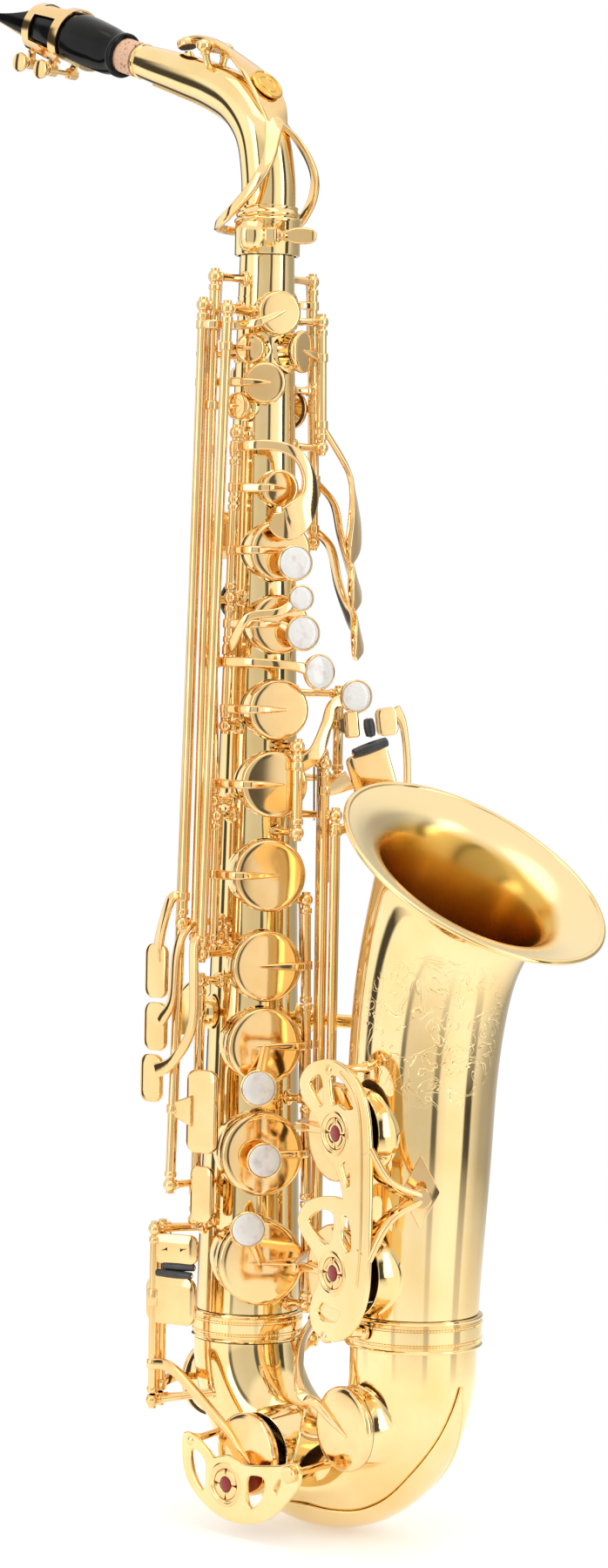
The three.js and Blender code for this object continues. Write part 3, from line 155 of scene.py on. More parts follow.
def over_hole(hole, out):
    """The point on a tone hole's axis that far above its seat."""
    return at(hole["cx"], 0, hole["z"]) + hole["normal"] * (hole["seat"] + out) * MM


def key_turn(body):
    """The turn that takes a key from closed to where it rests."""
    if body not in STANDS_OPEN:
        return Matrix.Identity(4)
    joint = JOINTS[body]
    pivot = Matrix.Translation(Vector(joint["pos_m"]))
    turn = Matrix.Rotation(-math.radians(joint["range_deg"][1]), 4, Vector(joint["axis"]))
    return pivot @ turn @ pivot.inverted()


def rod_at(body, z):
    """The point at height z on the line that a key turns about."""
    joint = JOINTS[body]
    start, axis = Vector(joint["pos_m"]), Vector(joint["axis"])
    return start + axis * (((ORIGIN.z + z * MM) - start.z) / axis.z)


# ------------------------------------------------------------------ materials
class Nodes:
    """Short forms for adding linked nodes to one node tree."""

    def __init__(self, tree):
        self.tree = tree

    def feed(self, socket, value):
        """Gives a socket a value, a colour or the output that feeds it."""
        if isinstance(value, bpy.types.NodeSocket):
            self.tree.links.new(value, socket)
        elif isinstance(value, tuple) and socket.type == "RGBA":
            socket.default_value = (*value, 1)
        else:
            socket.default_value = value

    def add(self, kind, inputs, **settings):
        made = self.tree.nodes.new("ShaderNode" + kind)
        for key, value in settings.items():
            setattr(made, key, value)
        for key, value in inputs.items():
            self.feed(made.inputs[key], value)
        return made

    def place(self, kind="Object"):
        return self.add("TexCoord", {}).outputs[kind]

    def noise(self, scale, detail=3.0, stretch=None, distortion=0.0):
        where = self.place()
        if stretch:
            where = self.add("Mapping", {"Vector": where, "Scale": stretch}).outputs["Vector"]
        inputs = {"Vector": where, "Scale": scale, "Detail": detail, "Distortion": distortion}
        return self.add("TexNoise", inputs).outputs["Fac"]

    def voronoi(self, scale):
        return self.add("TexVoronoi", {"Vector": self.place(), "Scale": scale}).outputs["Distance"]

    def ramp(self, source, stops):
        """Colours, or grey levels, along a source from (position, colour) stops."""
        made = self.add("ValToRGB", {"Fac": source})
        elements = made.color_ramp.elements
        while len(elements) < len(stops):
            elements.new(0.5)
        for element, (position, colour) in zip(elements, stops):
            element.position = position
            element.color = (*colour, 1) if isinstance(colour, tuple) else (colour,) * 3 + (1,)
        return made.outputs["Color"]

    def between(self, source, low, high, start=0.3, end=0.7, **settings):
        return self.add("MapRange", {
            "Value": source, "From Min": start, "From Max": end, "To Min": low, "To Max": high,
        }, **settings).outputs["Result"]

    def mix(self, factor, first, second):
        return self.add("Mix", {0: factor, 6: first, 7: second}, data_type="RGBA").outputs[2]

    def math(self, operation, *values):
        inputs = dict(enumerate(values))
        return self.add("Math", inputs, operation=operation).outputs["Value"]

    def vector(self, operation, output, *values):
        inputs = dict(enumerate(values))
        return self.add("VectorMath", inputs, operation=operation).outputs[output]


class Shader(Nodes):
    """One material with its Principled node."""

    def __init__(self, name):
        self.material = bpy.data.materials.new(name)
        self.material.use_nodes = True
        super().__init__(self.material.node_tree)
        self.bsdf = self.tree.nodes["Principled BSDF"]

    def bump(self, source, strength, distance, **settings):
        inputs = {"Height": source, "Strength": strength, "Distance": distance}
        if self.bsdf.inputs["Normal"].is_linked:
            inputs["Normal"] = self.bsdf.inputs["Normal"].links[0].from_socket
        self.set(Normal=self.add("Bump", inputs, **settings).outputs["Normal"])

    def set(self, **values):
        for key, value in values.items():
            self.feed(self.bsdf.inputs[key.replace("_", " ")], value)
        return self.material


def brass(name, light, deep, roughness, wear=0.12):
    """Lacquered brass: uneven lacquer, faint polishing lines and cloudy age marks."""
    shader = Shader(name)
    clouds = shader.noise(38, 4)
    colour = shader.ramp(clouds, [(0.32, deep), (0.6, light)])
    spots = shader.ramp(shader.noise(420, 5), [(0.68, 0), (0.8, 1)])
    colour = shader.mix(shader.between(spots, 0, wear, 0, 1), colour, (0.36, 0.17, 0.05))
    shader.bump(shader.noise(900, 2, (1, 1, 0.08)), 0.02, 0.00006)
    rough = shader.between(clouds, roughness, roughness + 0.04)
    shader.set(
        Base_Color=colour, Metallic=1, Roughness=rough, Coat_Weight=0.2, Coat_Roughness=0.03,
    )
    return shader


def bell_brass():
    """Lacquered brass whose bore is painted darker, a deep amber, away from the mouth: painted shade inside
    the bell.
    """
    shader = brass("bell_brass", (0.96, 0.74, 0.39), (0.92, 0.67, 0.31), 0.09)
    axis = UP * math.cos(math.radians(MOUTH_LEAN)) + outward(90) * math.sin(math.radians(MOUTH_LEAN))
    mouth = at(*BELL_MOUTH).dot(axis)
    height = shader.vector("DOT_PRODUCT", "Value", shader.place(), axis)
    # Painted shade: the bore's colour darkens from the brass at the mouth to deep brown further in, where
    # little light reaches.
    painted_bore_shade = shader.ramp(shader.between(height, 0, 1, mouth - 80 * MM, mouth), [
        (0, (0.3, 0.12, 0.015)), (0.6, (0.5, 0.24, 0.035)), (0.9, (0.74, 0.44, 0.09)),
        (0.94, (0.96, 0.76, 0.42)),
    ])
    bore = shader.add("Attribute", {}, attribute_name="bore").outputs["Fac"]
    plain = shader.bsdf.inputs["Base Color"].links[0].from_socket
    shader.set(
        Base_Color=shader.mix(bore, plain, painted_bore_shade), Roughness=shader.between(bore, 0.08, 0.24, 0, 1),
    )
    return shader


def engrave(shader, middle, reach):
    """Faint hand-cut scrolls in the lacquer round one place: a made-up pattern of curling lines."""
    lines = shader.ramp(shader.noise(70, 1.5, distortion=1.6), [
        (0.485, 0), (0.497, 1), (0.503, 1), (0.515, 0), (0.585, 0), (0.592, 0.8), (0.6, 0),
    ])
    away = shader.vector("DISTANCE", "Value", shader.place(), middle)
    patch = shader.between(away, 0, 1, reach * MM, reach * 0.7 * MM)
    shader.bump(shader.math("MULTIPLY", lines, patch), 0.5, 0.0003, invert=True)


LACQUER = brass("lacquered_brass", (0.96, 0.74, 0.38), (0.91, 0.66, 0.29), 0.05).material
KEY_LACQUER = brass("key_brass", (0.95, 0.68, 0.34), (0.88, 0.57, 0.24), 0.06).material
GOLD = brass("medallion_gold", (0.98, 0.62, 0.16), (0.86, 0.48, 0.08), 0.2).material
STEEL = brass("screw_steel", (0.62, 0.55, 0.44), (0.45, 0.38, 0.28), 0.22).material
BELL_BRASS = bell_brass()
engrave(BELL_BRASS, at(129, -20, 232), 36)
BELL_LACQUER = BELL_BRASS.material


def ebonite_material():
    shader = Shader("ebonite")
    clouds = shader.noise(60)
    colour = shader.ramp(clouds, [(0.3, (0.002, 0.002, 0.0025)), (0.7, (0.006, 0.006, 0.007))])
    shader.bump(shader.noise(1500, 2, (0.1, 1, 1)), 0.03, 0.0001)
    return shader.set(
        Base_Color=colour, Roughness=shader.between(clouds, 0.06, 0.12), Coat_Weight=0,
        Specular_IOR_Level=0.2,
    )


def cork_material():
    shader = Shader("cork")
    grains = shader.voronoi(900)
    colour = shader.ramp(grains, [(0.1, (0.62, 0.33, 0.2)), (0.5, (0.78, 0.5, 0.34))])
    pits = shader.ramp(shader.noise(520, 2), [(0.34, 1), (0.4, 0)])
    colour = shader.mix(shader.between(pits, 0, 0.85, 0, 1), colour, (0.16, 0.06, 0.03))
    shader.bump(grains, 0.5, 0.0003)
    return shader.set(Base_Color=colour, Roughness=0.85)


def cane_material():
    shader = Shader("cane")
    grain = shader.noise(700, 4, (0.05, 1, 1))
    colour = shader.ramp(grain, [(0.3, (0.58, 0.42, 0.18)), (0.7, (0.82, 0.68, 0.4))])
    shader.bump(grain, 0.25, 0.0002)
    return shader.set(Base_Color=colour, Roughness=0.55)


def pearl_material():
    shader = Shader("mother_of_pearl")
    swirl = shader.noise(210, 4)
    colour = shader.ramp(swirl, [
        (0.3, (0.72, 0.66, 0.68)), (0.48, (0.86, 0.83, 0.82)), (0.62, (0.8, 0.84, 0.8)),
        (0.75, (0.9, 0.82, 0.86)),
    ])
    shader.bump(swirl, 0.08, 0.0003)
    return shader.set(
        Base_Color=colour, Roughness=0.16, Coat_Weight=0.7, Coat_Roughness=0.04,
        Sheen_Weight=0.25,
    )


def leather_material():
    shader = Shader("pad_leather")
    pores = shader.voronoi(1600)
    colour = shader.ramp(shader.noise(240), [(0.3, (0.045, 0.018, 0.008)), (0.7, (0.1, 0.045, 0.02))])
    shader.bump(pores, 0.4, 0.0002)
    return shader.set(Base_Color=colour, Roughness=0.62)


def felt_material():
    shader = Shader("red_felt")
    fibres = shader.noise(1900, 6)
    colour = shader.ramp(fibres, [(0.3, (0.16, 0.006, 0.008)), (0.7, (0.42, 0.02, 0.025))])
    shader.bump(fibres, 0.9, 0.0004)
    return shader.set(Base_Color=colour, Roughness=0.95, Sheen_Weight=0.5)


def roller_material():
    shader = Shader("roller")
    clouds = shader.noise(300)
    colour = shader.ramp(clouds, [(0.3, (0.012, 0.012, 0.014)), (0.7, (0.03, 0.03, 0.034))])
    shader.bump(shader.noise(900), 0.05, 0.0001)
    return shader.set(Base_Color=colour, Roughness=0.3, Coat_Weight=0.3)


EBONITE = ebonite_material()
CORK = cork_material()
CANE = cane_material()
PEARL = pearl_material()
LEATHER = leather_material()
FELT = felt_material()
ROLLER = roller_material()


# ------------------------------------------------------------------ mesh making
def mesh_from(part, turn=None):
    """A clean mesh from (points, faces) in metres, with doubled points and loose edges removed."""
    points, faces = part
    mesh = bpy.data.meshes.new("part")
    mesh.from_pydata([tuple(turn @ p) if turn else tuple(p) for p in points], [], faces)
    tidy = bmesh.new()
    tidy.from_mesh(mesh)
    bmesh.ops.remove_doubles(tidy, verts=tidy.verts, dist=1e-7)
    loose = [edge for edge in tidy.edges if not edge.link_faces]
    bmesh.ops.delete(tidy, geom=loose, context="EDGES")
    bmesh.ops.recalc_face_normals(tidy, faces=tidy.faces)
    tidy.to_mesh(mesh)
    tidy.free()
    return mesh


def piece(name, part, material, body, turn=None, replaces=()):
    """A new piece from (points, faces) in metres; it rides on a body and takes a material."""
    return finish_piece(name, mesh_from(part, turn), material, body, replaces)


def finish_piece(name, mesh, material, body, replaces=()):
    mesh.name = name
    mesh.materials.clear()
    mesh.materials.append(material)
    mesh.shade_smooth()
    mesh.set_sharp_from_angle(angle=SHARP_EDGE)
    made = bpy.data.objects.new(name, mesh)
    bpy.context.scene.collection.objects.link(made)
    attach(made, body)
    if replaces:
        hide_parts(*replaces)
    return made


def side_axes(direction, hint=UP):
    along = direction.normalized()
    if abs(along.dot(hint)) > 0.95:
        hint = Vector((1, 0, 0))
    u = (hint - along * hint.dot(along)).normalized()
    return u, along.cross(u)


def loft(loops, ring=False):
    """Faces between equal loops of points; a ring's last loop meets its first, others are capped."""
    count = len(loops[0])
    points = [p for loop in loops for p in loop]
    faces = []
    for k in range(len(loops) if ring else len(loops) - 1):
        a, b = k * count, (k + 1) % len(loops) * count
        for i in range(count):
            j = (i + 1) % count
            faces.append((a + i, a + j, b + j, b + i))
    if not ring:
        for start in (0, len(points) - count):
            loop = points[start:start + count]
            if (loop[0] - loop[count // 2]).length > 1e-7:
                faces.append(tuple(range(start, start + count)))
    return points, faces


def merge(parts):
    points, faces = [], []
    for more_points, more_faces in parts:
        start = len(points)
        points.extend(more_points)
        faces.extend(tuple(start + i for i in face) for face in more_faces)
    return points, faces


def circle(centre, u, v, radius, segments):
    angles = (2 * math.pi * i / segments for i in range(segments))
    return [centre + (u * math.cos(a) + v * math.sin(a)) * radius for a in angles]


def lathe(base, axis, profile, segments=ROUND, ring=False):
    """Turns (radius, height) millimetre pairs round an axis."""
    u, v = side_axes(axis)
    along = axis.normalized()
    loops = [circle(base + along * h * MM, u, v, r * MM, segments) for r, h in profile]
    return loft(loops, ring)


def solid(*pairs):
    """An open (radius, height) profile closed onto the axis at both ends."""
    return [(0, pairs[0][1]), *pairs, (0, pairs[-1][1])]


def ball(centre, radius, segments=24):
    steps = segments // 2
    profile = [
        (radius * math.sin(math.pi * i / steps), -radius * math.cos(math.pi * i / steps))
        for i in range(1, steps)
    ]
    return lathe(centre, UP, [(0, -radius), *profile, (0, radius)], segments)


def rod(a, b, radius, segments=20, bevel=0.3):
    length = (b - a).length / MM
    return lathe(a, b - a, solid(
        (radius - bevel, 0), (radius, bevel), (radius, length - bevel), (radius - bevel, length),
    ), segments)


def spline(points, steps, closed=False):
    """Catmull-Rom values through tuples of numbers or vectors."""
    result = []
    count = len(points)
    for i in range(count if closed else count - 1):
        nearby = []
        for k in (i - 1, i, i + 1, i + 2):
            nearby.append(points[k % count if closed else min(max(k, 0), count - 1)])
        for step in range(steps):
            t = step / steps
            result.append(tuple(
                0.5 * (2 * b + (c - a) * t + (2 * a - 5 * b + 4 * c - d) * t * t
                       + (3 * b - a - 3 * c + d) * t ** 3)
                for a, b, c, d in zip(*nearby)
            ))
    if not closed:
        result.append(tuple(points[-1]))
    return result


def shell(stations, segments, wall):
    """A pipe from (centre, direction, radius) stations; its wall is measured square to its surface."""
    side = Vector((0, 1, 0))
    loops = []
    last = len(stations) - 1
    for centre, direction, radius in stations:
        u = (side - direction * side.dot(direction)).normalized()
        loops.append(circle(centre, u, direction.cross(u), radius * MM, segments))
    inner = []
    for i, (centre, direction, radius) in enumerate(stations):
        ahead, behind = stations[min(i + 1, last)], stations[max(i - 1, 0)]
        rise = (ahead[0] - behind[0]).dot(direction) / MM
        slope = math.atan2(ahead[2] - behind[2], max(rise, 1e-6))
        moved = centre + direction * wall * math.sin(slope) * MM
        u = (side - direction * side.dot(direction)).normalized()
        inset = radius - wall * math.cos(slope)
        inner.append(circle(moved, u, direction.cross(u), inset * MM, segments))
    return loft([*loops, *reversed(inner)], ring=True)


def rounded_section(width, depth, corner, steps=3):
    """Points round a rectangle with round corners, in millimetres."""
    corner = min(corner, width / 2 * 0.98, depth / 2 * 0.98)
    points = []
    for sx, sy, start in ((1, 1, 0), (-1, 1, 90), (-1, -1, 180), (1, -1, 270)):
        for i in range(steps + 1):
            a = math.radians(start + 90 * i / steps)
            points.append((
                sx * (width / 2 - corner) + corner * math.cos(a),
                sy * (depth / 2 - corner) + corner * math.sin(a),
            ))
    return points


def radial(point):
    level = point - ORIGIN
    level.z = 0
    return level.normalized()


def strap(points, widths, depths=2.4, normals=None, steps=6):
    """A round-edged bar through points; its width and depth may change from point to point."""
    count = len(points)
    depths = [depths] * count if isinstance(depths, (int, float)) else depths
    if normals is None:
        normals = [radial(p) for p in points]
    elif isinstance(normals, Vector):
        normals = [normals] * count
    rows = [
        (*p, w, d, *n) for p, w, d, n in zip(points, widths, depths, normals)
    ]
    fine = spline(rows, steps)
    centres = [Vector(row[:3]) for row in fine]
    loops = []
    last = len(fine) - 1
    for i, row in enumerate(fine):
        along = (centres[min(i + 1, last)] - centres[max(i - 1, 0)]).normalized()
        normal = Vector(row[5:8])
        normal = (normal - along * normal.dot(along)).normalized()
        side = along.cross(normal)
        section = rounded_section(max(row[3], 0.5), max(row[4], 0.5), 0.9)
        loop = [centres[i] + (side * x + normal * y) * MM for x, y in section]
        if i in (0, last):
            out = -along if i == 0 else along
            caps = []
            for shift, scale in ((0.35, 0.55), (0.2, 0.82)):
                caps.append([centres[i] + (p - centres[i]) * scale + out * shift * MM for p in loop])
            caps = caps if i == 0 else list(reversed(caps))
            loops.extend([*caps, loop] if i == 0 else [loop, *caps])
        else:
            loops.append(loop)
    return loft(loops)


def slab(centre, u, v, width, height, depth, corner, crown=0.15):
    """A round-cornered plate with soft edges and a slightly crowned face; u cross v is its face."""
    face = u.cross(v).normalized()
    outline = rounded_section(width, height, corner, 6)
    loops = []
    for lift, inset in (
        (-depth / 2, 0.7), (-depth / 2 + 0.25, 0.2), (-depth / 2 + 0.7, 0), (depth / 2 - 0.8, 0),
        (depth / 2 - 0.25, 0.25), (depth / 2, 0.8), (depth / 2 + crown * 0.6, width * 0.2),
        (depth / 2 + crown, width * 0.36),
    ):
        sx, sy = 1 - 2 * inset / width, 1 - 2 * inset / height
        loops.append([centre + (u * x * sx + v * y * sy + face * lift) * MM for x, y in outline])
    return loft(loops)


def work_object(data):
    made = bpy.data.objects.new("work", data)
    bpy.context.scene.collection.objects.link(made)
    return made


def carved(part, cutters):
    """The mesh of a part with the cutters taken out of it."""
    body = work_object(mesh_from(part))
    block = work_object(mesh_from(merge(cutters)))
    cutting = body.modifiers.new("cut", "BOOLEAN")
    cutting.object = block
    cutting.operation = "DIFFERENCE"
    cutting.solver = "EXACT"
    view = bpy.context.evaluated_depsgraph_get()
    result = bpy.data.meshes.new_from_object(body.evaluated_get(view))
    bpy.data.objects.remove(body)
    bpy.data.objects.remove(block)
    return result


def surface(part):
    """A search tree over a part, for finding where other parts meet its surface."""
    points, faces = part
    return BVHTree.FromPolygons([tuple(p) for p in points], faces)


# ------------------------------------------------------------------ tone holes
def hole_cutter(hole):
    start = at(hole["cx"], 0, hole["z"]) + hole["normal"] * hole["wall"] * 0.5 * MM
    return rod(start, over_hole(hole, 2), hole["r"] - 0.6, 48, 0.01)


def chimney(hole, tree):
    """The collar of a tone hole: it follows the tube at its foot, with a soldered fillet."""
    u, v = side_axes(hole["normal"])
    far = over_hole(hole, 20)

    def foot(radius, lift):
        loop = []
        for start in circle(far, u, v, radius * MM, 48):
            hit = tree.ray_cast(start, -hole["normal"])[0]
            if hit is None:
                hit = start - hole["normal"] * (20 + hole["seat"] - hole["wall"] * 0.8) * MM
            loop.append(hit + hole["normal"] * lift * MM)
        return loop

    def ring(radius, out):
        return circle(over_hole(hole, out), u, v, radius * MM, 48)

    outer, inner = hole["r"] + 0.6, hole["r"] - 0.6
    return loft([
        foot(inner, -1.2), ring(inner, -0.15), ring(inner + 0.25, 0.1), ring(outer - 0.2, 0.1),
        ring(outer + 0.05, -0.2), ring(outer, -0.9), foot(outer, 1.1), foot(outer + 0.35, 0.45),
        foot(outer + 1.1, 0.02), foot(outer + 1.1, -0.5),
    ], ring=True)


def pierced_tube(stations, segments, wall, names):
    """The mesh of a tube with its tone holes cut through, and the chimneys that stand round them."""
    tube = shell(stations, segments, wall)
    tree = surface(tube)
    holes = [HOLES[name] for name in names]
    mesh = carved(tube, [hole_cutter(hole) for hole in holes])
    return mesh, [chimney(hole, tree) for hole in holes]


# ------------------------------------------------------------------ posts and rods
def post(head, root):
    """A turned post from the tube: a soldered foot, a waisted stem and a ball for the rod."""
    length = (head - root).length / MM
    neck = length - BALL_R
    stem = lathe(root, head - root, solid(
        (3.6, -1.2), (3.6, 0.4), (3.2, 0.9), (2.3, 1.2), (1.9, 2), (1.6, max(neck * 0.55, 2.4)),
        (1.75, neck - 0.9), (2.3, neck - 0.5), (2.3, neck + 0.1), (1.7, neck + 0.8),
    ), 20)
    return merge([stem, ball(head, BALL_R)])


def rod_post(body, z, root_az=None):
    head = rod_at(body, z)
    level = head - ORIGIN
    az = math.degrees(math.atan2(level.x, -level.y)) if root_az is None else root_az
    return post(head, polar(tube_r(z), az, z))


def boss(point, direction):
    """The flat-ended pivot screw that shows on the outer side of a ball."""
    return lathe(point, direction, solid(
        (1.9, BALL_R * 0.6), (1.9, BALL_R + 0.3), (1.6, BALL_R + 0.5), (0.5, BALL_R + 0.5),
        (0.4, BALL_R + 0.1),
    ), 20)


def key_tube(body, z0, z1):
    return rod(rod_at(body, z0), rod_at(body, z1), ROD_R, 24)


def collar(body, z, half=2.1, radius=2.95):
    """The ring on a key's tube that an arm is brazed to."""
    start, end = rod_at(body, z - half), rod_at(body, z + half)
    length = 2 * half
    return lathe(start, end - start, solid(
        (2.3, 0), (radius - 0.15, 0.25), (radius, 0.6), (radius, length - 0.6),
        (radius - 0.15, length - 0.25), (2.3, length),
    ), 24)


# ------------------------------------------------------------------ pad cups
def cup_height(hole):
    return 3.6 if hole["r"] < BIG_HOLE_R else 4.4


def cup(hole):
    """A round cup: a straight skirt, a rolled shoulder and a nearly flat top."""
    r = hole["r"] + hole["lip"] + 0.05
    h = cup_height(hole)
    return lathe(over_hole(hole, SEAT_GAP), hole["normal"], [
        (r - 0.8, 1.6), (r - 0.8, 0.9), (r - 0.15, 0.8), (r, 1.0), (r, h - 1.5), (r - 0.2, h - 0.8),
        (r - 0.75, h - 0.3), (r - 1.6, h - 0.08), (r - 3.0, h), (r * 0.5, h + 0.22), (0, h + 0.3),
        (0, 1.6),
    ])


def pad(hole):
    """The stuffed leather pad with the seat's ring pressed into it; the domed resonator is a piece of its
    own.
    """
    r = hole["r"] + hole["lip"] - 0.45
    s = hole["r"]
    base = over_hole(hole, SEAT_GAP)
    return lathe(base, hole["normal"], [
        (0, 1.5), (r, 1.5), (r + 0.3, 0.95), (r + 0.2, 0.4), (r - 0.35, 0.06), (s + 0.7, 0.0),
        (s, 0.25), (s - 0.8, 0.0), (s * 0.6, 0.08), (s * 0.45, 0.12), (0, 0.12),
    ])


def resonator(hole):
    s = hole["r"]
    return lathe(over_hole(hole, SEAT_GAP), hole["normal"], [
        (0, 0.3), (s * 0.5, 0.3), (s * 0.52, 0.0), (s * 0.48, -0.25), (s * 0.25, -0.45), (0, -0.5),
    ], 40)


def cup_top(hole, out=0):
    return over_hole(hole, SEAT_GAP + cup_height(hole) + 0.4 + out)


def cup_arm(body, hole, z=None, via=(), width=4.4):
    """An arm from the tube to the cup, ending in a tapered spine over the middle of the cup."""
    z = hole["z"] if z is None else z
    start = rod_at(body, z)
    centre = cup_top(hole)
    last = via[-1] if via else start
    side = last - centre
    side -= hole["normal"] * side.dot(hole["normal"])
    side.normalize()
    r = hole["r"]
    rim = centre + side * (r + 1.2) * MM + hole["normal"] * 0.35 * MM
    middle = centre + side * r * 0.35 * MM + hole["normal"] * 0.25 * MM
    tip = centre - side * r * 0.3 * MM
    out = radial(start)
    points = [start + out * 0.2 * MM, *via, rim, middle, tip]
    count = len(via)
    widths = [width] * (count + 1) + [width * 0.86, width * 0.66, 0.9]
    depths = [3.2] + [2.9] * count + [2.9, 2.2, 0.7]
    normals = [radial(p) for p in points[:count + 1]] + [hole["normal"]] * 3
    return merge([strap(points, widths, depths, normals), collar(body, z)])


# ------------------------------------------------------------------ pearls
def pearl_holder(centre, normal, size):
    """The dish that a pearl is set in, with a raised lip round it."""
    return lathe(centre, normal, [
        (0, -0.3), (size - 2.2, -0.2), (size - 0.8, 0.4), (size - 0.1, 1.4), (size, 2.6),
        (size - 0.05, 3.1), (size - 0.35, 3.35), (size - 0.7, 3.2), (size - 0.8, 2.7), (0, 2.7),
    ], 48)


def pearl_button(centre, normal, size):
    r = size - 0.85
    return lathe(centre, normal, [
        (0, 2.72), (r, 2.72), (r, 3.1), (r - 0.25, 3.5), (r - 0.9, 3.8), (r * 0.6, 4.05),
        (r * 0.3, 4.15), (0, 4.2),
    ], 48)


# ------------------------------------------------------------------ body tube
def body_tube():
    stations = [
        (at(0, 0, z), UP, tube_r(z)) for z in (TUBE_BOTTOM_Z, 200, 300, 400, 500, TUBE_TOP_Z)
    ]
    names = [name for name in HOLES if name not in BOW_HOLES + BELL_HOLES]
    mesh, collars = pierced_tube(stations, 96, WALL, names)
    finish_piece("body_tube_shell", mesh, LACQUER, "root", ["body_tube"])
    lip = lathe(at(0, 0, 548), UP, [
        (12.9, 0), (12.95, 0.3), (12.9, 0.6), (12.4, 0.6), (12.4, 0),
    ], 96, True)
    piece("body_tone_hole_chimneys", merge([*collars, lip]), LACQUER, "root")


# Posts on the body tube: the key, the height and, where it isn't straight below, the root's angle.
BODY_POSTS = [
    ("b_key", 487), ("b_key", 414), ("b_key", 357), ("g_key", 413), ("g_key", 323.5),
    ("g_sharp_key", 317), ("g_sharp_key", 258), ("f_key", 280), ("f_key", 191), ("f_key", 99),
    ("high_e_key", 543, -19), ("high_e_key", 269.4, -8.8), ("side_c_key", 556),
    ("side_c_key", 263, -5), ("side_bb_key", 541), ("side_bb_key", 256), ("high_f_sharp_key", 522),
    ("high_f_sharp_key", 152, -22), ("trill_key", 243), ("trill_key", 136), ("low_c_key", 131.4),
    ("low_eb_key", 131.4), ("g_sharp_touch", 348.6), ("g_sharp_touch", 310.5),
    ("low_c_sharp_key", 345), ("low_bb_key", 341), ("low_bb_key", 112, 104.5),
    ("low_b_key", 318, 108.5), ("low_b_key", 172, 108), ("low_c_sharp_touch", 372),
    ("low_c_sharp_touch", 334), ("palm_d_key", 538), ("palm_d_key", 482), ("palm_eb_key", 508),
    ("palm_eb_key", 462), ("palm_f_key", 558), ("palm_f_key", 440), ("body_octave_key", 548),
    ("body_octave_key", 450),
]
BOW_POST_ROOT = at(2, -22, 58)
BOW_POSTS = [
    ("low_c_key", 54.5, BOW_POST_ROOT), ("low_eb_key", 54.5, BOW_POST_ROOT),
    ("low_c_sharp_key", 82, at(22, 4, 70)),
]
THUMB_AXIS = Vector(JOINTS["thumb_octave_lever"]["axis"])
THUMB_MIDDLE = Vector(JOINTS["thumb_octave_lever"]["pos_m"])
THUMB_HALF = 9.37


def posts():
    parts = []
    for body, z, *root_az in BODY_POSTS:
        head = rod_at(body, z)
        parts.extend([rod_post(body, z, *root_az), boss(head, UP), boss(head, -UP)])
    for side in (-1, 1):
        head = THUMB_MIDDLE + THUMB_AXIS * side * THUMB_HALF * MM
        level = head - ORIGIN
        root = at(level.x / MM * 0.6, level.y / MM * 0.6, 434)
        parts.append(post(head, root))
    piece("body_posts", merge(parts), KEY_LACQUER, "root")
    parts = []
    for body, z, root in BOW_POSTS:
        parts.append(post(rod_at(body, z), root))
        parts.append(boss(rod_at(body, z), -UP))
    piece("bow_posts", merge(parts), KEY_LACQUER, "root")


# ------------------------------------------------------------------ rings, bow and bell
def band(cx, z0, z1, outer, inner):
    """A joining ring: a flat band with a bead at each edge and two fine grooves."""
    h = z1 - z0
    return lathe(at(cx, 0, z0), UP, [
        (inner, 0), (outer - 0.5, 0), (outer + 0.1, 0.3), (outer + 0.35, 0.9), (outer + 0.1, 1.5),
        (outer - 0.35, 1.8), (outer - 0.35, 2.2), (outer, 2.45), (outer, 3.0), (outer - 0.3, 3.2),
        (outer - 0.3, 4.2), (outer, 4.4), (outer, h - 4.4), (outer - 0.3, h - 4.2),
        (outer - 0.3, h - 3.2), (outer, h - 3.0), (outer, h - 2.45), (outer - 0.35, h - 2.2),
        (outer - 0.35, h - 1.8), (outer + 0.1, h - 1.5), (outer + 0.35, h - 0.9),
        (outer + 0.1, h - 0.3), (outer - 0.5, h), (inner, h),
    ], 96, True)


def ticks(cx, z, radius, count):
    """A milled row round a ring: raised teeth with flat flanks."""
    loops = []
    for height, drop in ((-0.5, 0.4), (-0.4, 0), (0.4, 0), (0.5, 0.4)):
        loop = []
        for i in range(count * 4):
            az = 360 * i / (count * 4)
            tooth = 0.45 if i % 4 < 2 else 0
            loop.append(polar(radius + tooth - drop, az, z + height, cx))
        loops.append(loop)
    inner = [
        [polar(radius - 0.6, 360 * i / (count * 4), z + height, cx) for i in range(count * 4)]
        for height in (0.5, -0.5)
    ]
    return loft([*loops, *inner], ring=True)


def rings():
    for name, node, cx, z0, z1, outer, inner, count in (
        ("body_bow_band", "body_bow_ring", 0, RING_BOTTOM_Z, RING_TOP_Z, 24.9,
         tube_r(RING_TOP_Z) - WALL, 110),
        ("bell_bow_band", "bell_bow_ring", BOW_SPAN, BELL_RING_BOTTOM_Z, BELL_RING_TOP_Z, 29.7,
         BOW_R[2] - WALL, 130),
    ):
        rows = [ticks(cx, z, outer - 0.2, count) for z in (z0 + 3.7, z1 - 3.7)]
        parts = [band(cx, z0, z1, outer, inner), *rows]
        piece(name, merge(parts), LACQUER, "root", replaces=[node])


def bow_station(a):
    t = a / math.pi
    low, middle, high = BOW_R
    r = low * (1 - t) * (1 - 2 * t) + middle * 4 * t * (1 - t) + high * t * (2 * t - 1)
    centre = at(
        BOW_SPAN / 2 - BOW_BEND_R * math.cos(a), 0, RING_BOTTOM_Z - BOW_DEPTH * math.sin(a)
    )
    along = Vector((BOW_BEND_R * math.sin(a), 0, -BOW_DEPTH * math.cos(a))).normalized()
    return centre, along, r


